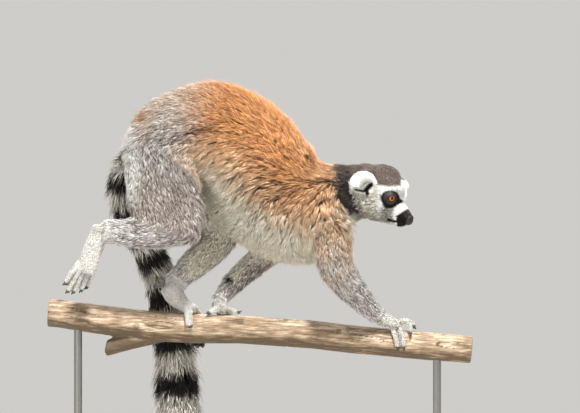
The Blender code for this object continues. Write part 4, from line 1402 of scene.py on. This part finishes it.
def styled(roots, rng):
    """Length, width, rise and turn of each lock, and the leader that its tip is drawn to."""
    count = len(roots["point"])
    point = roots["point"]
    widths = coat_value(roots["part"], WIDTH) * MM
    long = ramp(roots["hair"], *HAIR_RANGE)
    shag = shaggy(point, roots["part"])
    leaders = np.flatnonzero(rng.random(count) < 1 / (3 + 3 * long + 9 * shag))
    tree = KDTree(len(leaders))
    for i, place in enumerate(point[leaders]):
        tree.insert(place, i)
    tree.balance()
    leader = leaders[[tree.find(place)[1] for place in point]]
    tail = among(roots["part"], "tail")
    roots["leader"] = leader
    roots["pull"] = np.where(roots["part"][leader] == roots["part"], 0.08 + 0.22 * long + 0.42 * shag, 0)
    own = np.clip(rng.normal(0, 1, (3, count)), -1.6, 1.6)
    turn = 0.20 * wander(point, 0.008, 21) + 0.17 * own[0][leader] + 0.12 * rng.normal(0, 1, count)
    turn = turn * (0.5 + 0.5 * long)
    side = np.cross(roots["normal"], roots["lie"])
    roots["lie"] = roots["lie"] * np.cos(turn)[:, None] + side * np.sin(turn)[:, None]
    roots["length"] = roots["hair"] * np.exp(rng.normal(0, 0.13, count) + 0.08 * own[1][leader])
    roots["width"] = widths * np.exp(rng.normal(0, 0.2, count))
    head = among(roots["part"], "head", "neck")
    stray = rng.random(count) < STRAYS
    roots["length"] *= 1 + 0.25 * stray
    roots["width"] *= 1 - 0.45 * stray
    lift = 0.97 + 0.13 * own[2][leader] + rng.normal(0, 0.10, count) + 0.25 * tail + 0.2 * head
    withers = fade(point[:, 0] - 0.080, 0.013) * ramp(roots["normal"][:, 2], 0.3, 0.8)
    roots["length"] *= 1 + 0.3 * withers
    lift += 0.5 * stray + 0.7 * withers - 0.75 * roots["fold"]
    rise = np.clip(roots["room"] * lift, 0, (0.72 + 0.1 * tail) * roots["length"])
    roots["under"] = rng.random(count) < UNDER_HAIRS
    roots["rise"] = np.where(roots["under"], rise * rng.uniform(0.45, 0.85, count), rise)
    roots["group_tone"] = own[0][leader] * 0.4 + own[1][leader] * 0.6
    return roots


def hair_tones(roots, coat, rng):
    """The colour of each lock: the coat's colour under its middle, with lighter and darker hairs mixed in,
    and painted shade in the folds and on the locks that lie under the others.
    """
    count = len(roots["point"])
    middle = roots["point"] + roots["lie"] * (0.55 * roots["length"])[:, None]
    # Painted shade: locks in the folds of the flank or the crease over the hip are darkened.
    sunk_and_shaded = np.maximum(roots["fold"], 0.95 * folds(middle) * among(roots["part"], "chest", "trunk"))
    mingled = coat_value(roots["part"], MINGLING) * 0.6 * MM
    middle += rng.normal(0, 1, (count, 3)) * mingled[:, None]
    made = painted(middle, roots["normal"], roots["part"], coat) * (1 - 0.86 * sunk_and_shaded)[:, None]
    brightest = made.max(axis=1)
    colourful = (brightest - made.min(axis=1)) / np.maximum(brightest, 1e-6)
    grey = 1 - np.clip(colourful, 0, 0.6) / 0.6
    middling = ramp(brightest, 0.06, 0.2) * ramp(-brightest, -0.8, -0.5)
    bare_hand = among(roots["part"], "hand", "foot")
    limb = among(roots["part"], *SPECKLED)
    grouped = (0.14 + (0.16 + 0.24 * limb) * grey * middling) * roots["group_tone"]
    tone = (rng.normal(0, 0.10 + 0.12 * middling, count) + grouped) * (1 - 0.5 * bare_hand)
    draw = rng.random(count)
    dark = (draw < (0.12 + 0.12 * grey * middling) * (1 - 0.6 * bare_hand)) * middling
    pale = (draw > 0.82 - (0.10 + 0.10 * limb) * grey * middling) * middling
    # Painted shade: locks that lie under the others are darker.
    tone += 0.05 + pale * (0.42 + 0.15 * grey) - dark * (0.50 + 0.35 * grey) - 0.25 * roots["under"]
    made = made * np.exp(tone)[:, None] + (0.03 * pale)[:, None]
    return np.clip(made, 0, 0.92)


def unwrap_of(roots, parts):
    """Each root's place on an unwrap of the skin: round and along its part, the parts side by side."""
    made = np.zeros((len(roots["point"]), 2))
    for cell, part in enumerate(parts):
        mine = roots["part"] == FLESH.index(part)
        if not mine.any():
            continue
        axis = axis_of(part)
        _, foot, way, far = along(roots["point"][mine], axis)
        out = roots["point"][mine] - foot
        start = np.array([0.0, 1.0, 0.0])
        first = unit(start - way * (way @ start)[:, None])
        second = np.cross(way, first)
        turn = np.arctan2(dot(out, second), dot(out, first)) / math.tau + 0.5
        low, high = far.min(), far.max()
        made[mine, 0] = (cell + 0.01 + 0.98 * turn) / len(parts)
        made[mine, 1] = (far - low) / max(high - low, 1e-6)
    return 0.004 + 0.992 * made


def make_coat_piece(name, coat, chosen, parts, count, shape, rng, material):
    """One piece of the coat: this many locks on the chosen triangles, coloured and unwrapped."""
    roots = styled(coat.roots(chosen, count, rng), rng)
    points = grown(roots, shape, rng)
    per_lock = points.shape[1]
    faces = lock_shape(len(shape["sections"]))
    triangles = (np.arange(count) * per_lock)[:, None, None] + faces[None]
    piece = mesh_of_triangles(name, points.reshape(-1, 3), triangles.reshape(-1, 3))
    colour = hair_tones(roots, coat.settings, rng)[:, None] * lock_tone_and_shade(shape, roots["length"])[:, :, None]
    colour = np.clip(colour.reshape(-1, 3), 0, 1)
    store(piece.data, "coat_colour", np.hstack([colour, np.ones((len(colour), 1))]))
    place = (unwrap_of(roots, parts)[:, None] + lock_patch(shape)[None]).reshape(-1, 2)
    layer = piece.data.uv_layers.new(name="OFBake")
    layer.data.foreach_set("uv", place[triangles.reshape(-1)].astype(np.float32).ravel())
    slot = next((s for start, s in COAT_SLOTS.items() if name.startswith(start)), "grey_fur")
    return finished(name, piece, material, slot)


# Small parts


def make_nails(part, material):
    """A narrow arched nail on the outer side of each digit's tip."""
    nails = []
    for number, line in enumerate(digit_lines(part)):
        tip = Vector(line[-1])
        way = (tip - Vector(line[-2])).normalized()
        if part in FREE_DIGITS:
            out = Vector(FREE_NAIL_WAY)
        else:
            out = Vector((0, tip.y, tip.z - LIFT * MM - branch_middle(tip.x)))
        out = (out - way * out.dot(way)).normalized()
        size = THUMB_NAIL if number == 0 else 1.0
        nail = new_ball(12, 8, 1)
        across = way.cross(out)
        basis = Matrix((way, across, out)).transposed().to_4x4()
        spread_by = Matrix.Diagonal((*(length * size for length in NAIL_SIZE), 1))
        at = Matrix.Translation(tip + way * 0.0006 + out * 0.0016)
        nail.data.transform(at @ basis @ spread_by)
        nails.append(nail)
    whole = only(*nails)
    bpy.ops.object.join()
    return finished(f"nails_{part}", whole, material, "black_skin")


def eye_place(side):
    """The middle of an eye and the way that it looks, in the frame."""
    centre = Vector(moved_by(head_matrix(), np.array(EYE_CENTRE) * (1, side, 1)))
    turn = head_matrix().to_3x3().normalized()
    return centre, (turn @ Vector(EYE_GAZE[k] * (1, side, 1)[k] for k in range(3))).normalized()


def make_eye(side, name, settings, material):
    """Eyeball with a slightly raised cornea. Its attributes give the angle off the gaze and round it."""
    centre, gaze = eye_place(side)
    eye = new_ball(48, 32, settings.eye_radius)
    local = read(eye.data.vertices, "co", 3)
    off = np.arccos(np.clip(local[:, 2] / settings.eye_radius, -1, 1))
    rim = math.asin(settings.iris_radius / settings.eye_radius)
    bulge = CORNEA_RISE * ramp(-off, -rim * 1.05, -rim * 0.3)
    local += unit(local) * bulge[:, None]
    spread(eye.data, local)
    store(eye.data, "off_axis", off)
    store(eye.data, "spoke", np.arctan2(local[:, 1], local[:, 0]))
    eye.location = centre
    eye.rotation_euler = gaze.to_track_quat("Z", "Y").to_euler()
    return finished(name, eye, material, "amber_eye", name.replace("ball", ""))


def make_lids(side, name, settings, material):
    """Both lids of one eye: a shell over the eyeball with an almond-shaped gap."""
    centre, gaze = eye_place(side)
    lids = new_ball(64, 48, settings.eye_radius + LID_GAP)
    across = Vector((0, 0, 1)).cross(gaze).normalized()
    up = gaze.cross(across)
    lids.data.transform(Matrix((across, up, gaze)).transposed().to_4x4())
    ways = unit(read(lids.data.vertices, "co", 3))
    off = np.arccos(np.clip(ways @ np.array(gaze), -1, 1))
    wide, high = ways @ np.array(across), ways @ np.array(up)
    size = np.maximum(np.hypot(wide, high), 1e-6)
    wide, high = off * wide / size, off * high / size
    half = settings.lid_opening
    taper = np.sqrt(np.clip(1 - (wide / half) ** 2, 0, 1))
    upper, lower = UPPER_LID * half * taper, LOWER_LID * half * taper
    open_here = (np.abs(wide) < half) & (high < upper) & (high > -lower)
    shape = bmesh.new()
    shape.from_mesh(lids.data)
    shape.verts.ensure_lookup_table()
    gone = [v for v in shape.verts if open_here[v.index] or off[v.index] > math.radians(86)]
    bmesh.ops.delete(shape, geom=gone, context="VERTS")
    shape.to_mesh(lids.data)
    shape.free()
    with_modifier(lids, "SOLIDIFY", thickness=LID_THICKNESS, offset=1.0)
    with_modifier(lids, "SMOOTH", factor=0.5, iterations=2)
    with_modifier(lids, "SUBSURF", levels=1, render_levels=1)
    lids.location = centre
    return finished(name, lids, material, "black_skin")


def make_nose(material):
    """Nose pad with two comma-shaped nostrils and the groove below them."""
    nose = new_ball(48, 32, 1)
    local = read(nose.data.vertices, "co", 3)
    dent = np.zeros(len(local))
    for side in (1, -1):
        nostril = unit(np.array([0.80, 0.62 * side, -0.05]))
        near = np.linalg.norm((local - nostril) * (1, 1, 1.25), axis=1)
        dent += 0.46 * fade(near, 0.30)
    groove = fade(local[:, 1], 0.09) * ramp(local[:, 0], 0.2, 0.6) * ramp(-local[:, 2], -0.3, 0.3)
    local *= (1 - dent - 0.10 * groove)[:, None]
    local *= NOSE_SIZE
    local[:, 0] += 0.8 * ramp(local[:, 2], -1, 4) * (local[:, 0] > 0)
    local += NOSE_CENTRE
    spread(nose.data, moved_by(head_matrix(), local))
    return finished("nose_pad", nose, material, "black_skin", "nose")


def make_branch(settings, material):
    """The branch with its long grain, drying cracks and knots cut into the wood."""
    wood = copied("branch")
    with_modifier(wood, "REMESH", mode="VOXEL", voxel_size=WOOD_CELL)
    with_modifier(wood, "SMOOTH", factor=0.5, iterations=6)
    surface = Surface(wood.data)
    points = surface.points
    flat = points - (0, 0, LIFT * MM)
    flat[:, 2] -= branch_middle(points[:, 0])
    turn = np.arctan2(flat[:, 1], flat[:, 2]) + 2.2 * points[:, 0]
    ring = np.stack([points[:, 0] * 0.10, np.sin(turn) * 0.017, np.cos(turn) * 0.017], axis=1)
    grain = wander(ring, 0.0022, 41) + 0.6 * wander(ring, 0.0011, 42)
    swell = wander(points * (0.4, 1, 1), 0.014, 43)
    line = np.abs(wander(ring, 0.006, 44))
    crack = ramp(-line, -0.05, -0.012) * ramp(wander(points, 0.03, 45), -0.1, 0.35)
    knots = np.zeros(len(points))
    rims = np.zeros(len(points))
    for x, degrees, size in KNOTS:
        gap = np.linalg.norm(points - on_bark(x, degrees, 0), axis=1) / (size * MM)
        knots += fade(gap, 1)
        rims += fade(gap - 1, 0.28)
    sawn = np.abs(surface.normals[:, 0]) > 0.8
    lift = settings.grain_depth * 0.5 * grain + 0.00035 * swell - settings.crack_depth * crack
    lift += 0.0008 * knots - 0.0003 * rims
    lift = np.where(sawn, 0, np.minimum(lift, 0.0009))
    spread(wood.data, points + surface.normals * lift[:, None])
    # Painted shade: the underside is darkened, stored in the groove attribute with the cracks, knot rims and
    # knots.
    under = ramp(-flat[:, 2] / np.maximum(np.hypot(flat[:, 1], flat[:, 2]), 1e-6), 0.1, 0.85)
    store(wood.data, "groove", np.clip(crack + 0.3 * rims + 0.4 * knots - 0.35 * grain + 0.6 * under, 0, 1.4))
    return finished("branch_wood", wood, material, "bare_wood", "branch")


# Operators


class LEMUR_OT_skin(bpy.types.Operator):
    """Make the one skin that stands for the flesh"""

    bl_idname = "lemur.skin"
    bl_label = "Skin"

    def execute(self, context):
        coat = context.scene.lemur_coat
        skin, shell = make_skin(context.scene.lemur_skin, coat)
        dress_skin(skin, shell, coat)
        finished("lemur_skin", skin, under_fur_material(), "grey_fur", *FLESH)
        return {"FINISHED"}


class LEMUR_OT_coat(bpy.types.Operator):
    """Grow the coat over the skin, in tufts that follow the lie of the hair"""

    bl_idname = "lemur.coat"
    bl_label = "Coat"

    def execute(self, context):
        settings = context.scene.lemur_coat
        coat = Coat(bpy.data.objects["lemur_skin"], settings)
        material = hair_material()
        whole = coat.weight.sum()
        for number, (name, (parts, side, long)) in enumerate(COAT_PIECES.items()):
            rng = np.random.default_rng(settings.seed + number)
            chosen = coat.triangles_of(parts, side)
            shape = LONG_LOCK if long else SHORT_LOCK
            most = MOST_TRIANGLES // len(lock_shape(len(shape["sections"])))
            count = min(int(settings.tufts * coat.weight[chosen].sum() / whole), most)
            make_coat_piece(name, coat, chosen, parts, count, shape, rng, material)
        return {"FINISHED"}


class LEMUR_OT_face(bpy.types.Operator):
    """Make the eyes, the lids and the nose"""

    bl_idname = "lemur.face"
    bl_label = "Eyes, lids and nose"

    def execute(self, context):
        settings = context.scene.lemur_face
        eye = eye_material(settings)
        leather = leather_material(settings.leather)
        for side, name in ((1, "left"), (-1, "right")):
            make_eye(side, f"eyeball_{name}", settings, eye)
            make_lids(side, f"lids_{name}", settings, leather)
        make_nose(leather)
        return {"FINISHED"}


class LEMUR_OT_nails(bpy.types.Operator):
    """Make the nails of the hands and feet"""

    bl_idname = "lemur.nails"
    bl_label = "Nails"

    def execute(self, context):
        material = nail_material(context.scene.lemur_face.nail)
        for part in WITH_DIGITS:
            make_nails(part, material)
        return {"FINISHED"}


class LEMUR_OT_perch(bpy.types.Operator):
    """Make the branch, and finish the stand that carries it"""

    bl_idname = "lemur.perch"
    bl_label = "Branch and stand"

    def execute(self, context):
        settings = context.scene.lemur_perch
        make_branch(settings, branch_material(settings))
        board, steel = board_material(settings.base), steel_material(settings.steel)
        for node, material in (("stand_base", board), ("stand_rod_1", steel), ("stand_rod_2", steel)):
            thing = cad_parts[node]
            for place in thing.material_slots:
                place.material = material
        return {"FINISHED"}


class LEMUR_OT_stage(bpy.types.Operator):
    """Make the floor, the lights and the camera"""

    bl_idname = "lemur.stage"
    bl_label = "Stage"

    def execute(self, context):
        settings = context.scene.lemur_stage
        bpy.ops.object.select_all(action="DESELECT")
        bpy.ops.mesh.primitive_circle_add(
            vertices=96, radius=settings.floor_radius, fill_type="NGON", location=(0, 0, -0.0005)
        )
        floor = bpy.context.object
        floor.name = "floor"
        bpy.ops.object.transform_apply(location=True, rotation=True, scale=True)
        floor.data.materials.append(floor_material(settings.floor))
        for name, (where, size, power, share) in LIGHTS.items():
            bpy.ops.object.light_add(type="AREA", radius=size, location=where)
            lamp = bpy.context.object
            lamp.name = name
            lamp.data.shape = "DISK"
            lamp.data.size = size
            lamp.data.energy = share * getattr(settings, power)
            lamp.rotation_euler = (Vector(LIGHT_AIM) - Vector(where)).to_track_quat("-Z", "Y").to_euler()
        world = bpy.data.worlds.new("studio")
        world.use_nodes = True
        sky = world.node_tree.nodes["Background"]
        sky.inputs["Color"].default_value = rgba(settings.floor)
        sky.inputs["Strength"].default_value = settings.world
        context.scene.world = world
        context.scene.view_settings.view_transform = "Standard"
        camera = bpy.data.objects.new("camera", bpy.data.cameras.new("camera"))
        context.scene.collection.objects.link(camera)
        camera.location = CAMERA_PLACE
        camera.rotation_euler = (math.radians(90), 0, 0)
        camera.data.sensor_width = CAMERA_SENSOR
        camera.data.lens = CAMERA_LENS
        camera.data.clip_end = 50
        bpy.context.scene.camera = camera
        return {"FINISHED"}


OPERATORS = (
    LEMUR_OT_skin,
    LEMUR_OT_coat,
    LEMUR_OT_face,
    LEMUR_OT_nails,
    LEMUR_OT_perch,
    LEMUR_OT_stage,
)


class LEMUR_PT_panel(bpy.types.Panel):
    """The lemur's pieces, in the order that they are made"""

    bl_label = "Ring-tailed Lemur"
    bl_idname = "LEMUR_PT_panel"
    bl_space_type = "VIEW_3D"
    bl_region_type = "UI"
    bl_category = "Lemur"

    def draw(self, context):
        for operator in OPERATORS:
            self.layout.operator(operator.bl_idname)
        for name, group in SETTINGS.items():
            box = self.layout.box()
            for field in group.__annotations__:
                box.prop(getattr(context.scene, name), field)


def register():
    """Adds the settings, the operators and the panel."""
    for group in SETTINGS.values():
        bpy.utils.register_class(group)
    for name, group in SETTINGS.items():
        setattr(bpy.types.Scene, name, bpy.props.PointerProperty(type=group))
    for operator in (*OPERATORS, LEMUR_PT_panel):
        bpy.utils.register_class(operator)


def unregister():
    """Takes out what register adds."""
    for operator in (LEMUR_PT_panel, *reversed(OPERATORS)):
        bpy.utils.unregister_class(operator)
    for name, group in SETTINGS.items():
        delattr(bpy.types.Scene, name)
        bpy.utils.unregister_class(group)


def main():
    """Makes the whole model."""
    register()
    bpy.ops.lemur.skin()
    bpy.ops.lemur.coat()
    bpy.ops.lemur.face()
    bpy.ops.lemur.nails()
    bpy.ops.lemur.perch()
    bpy.ops.lemur.stage()


if __name__ == "__main__":
    main()
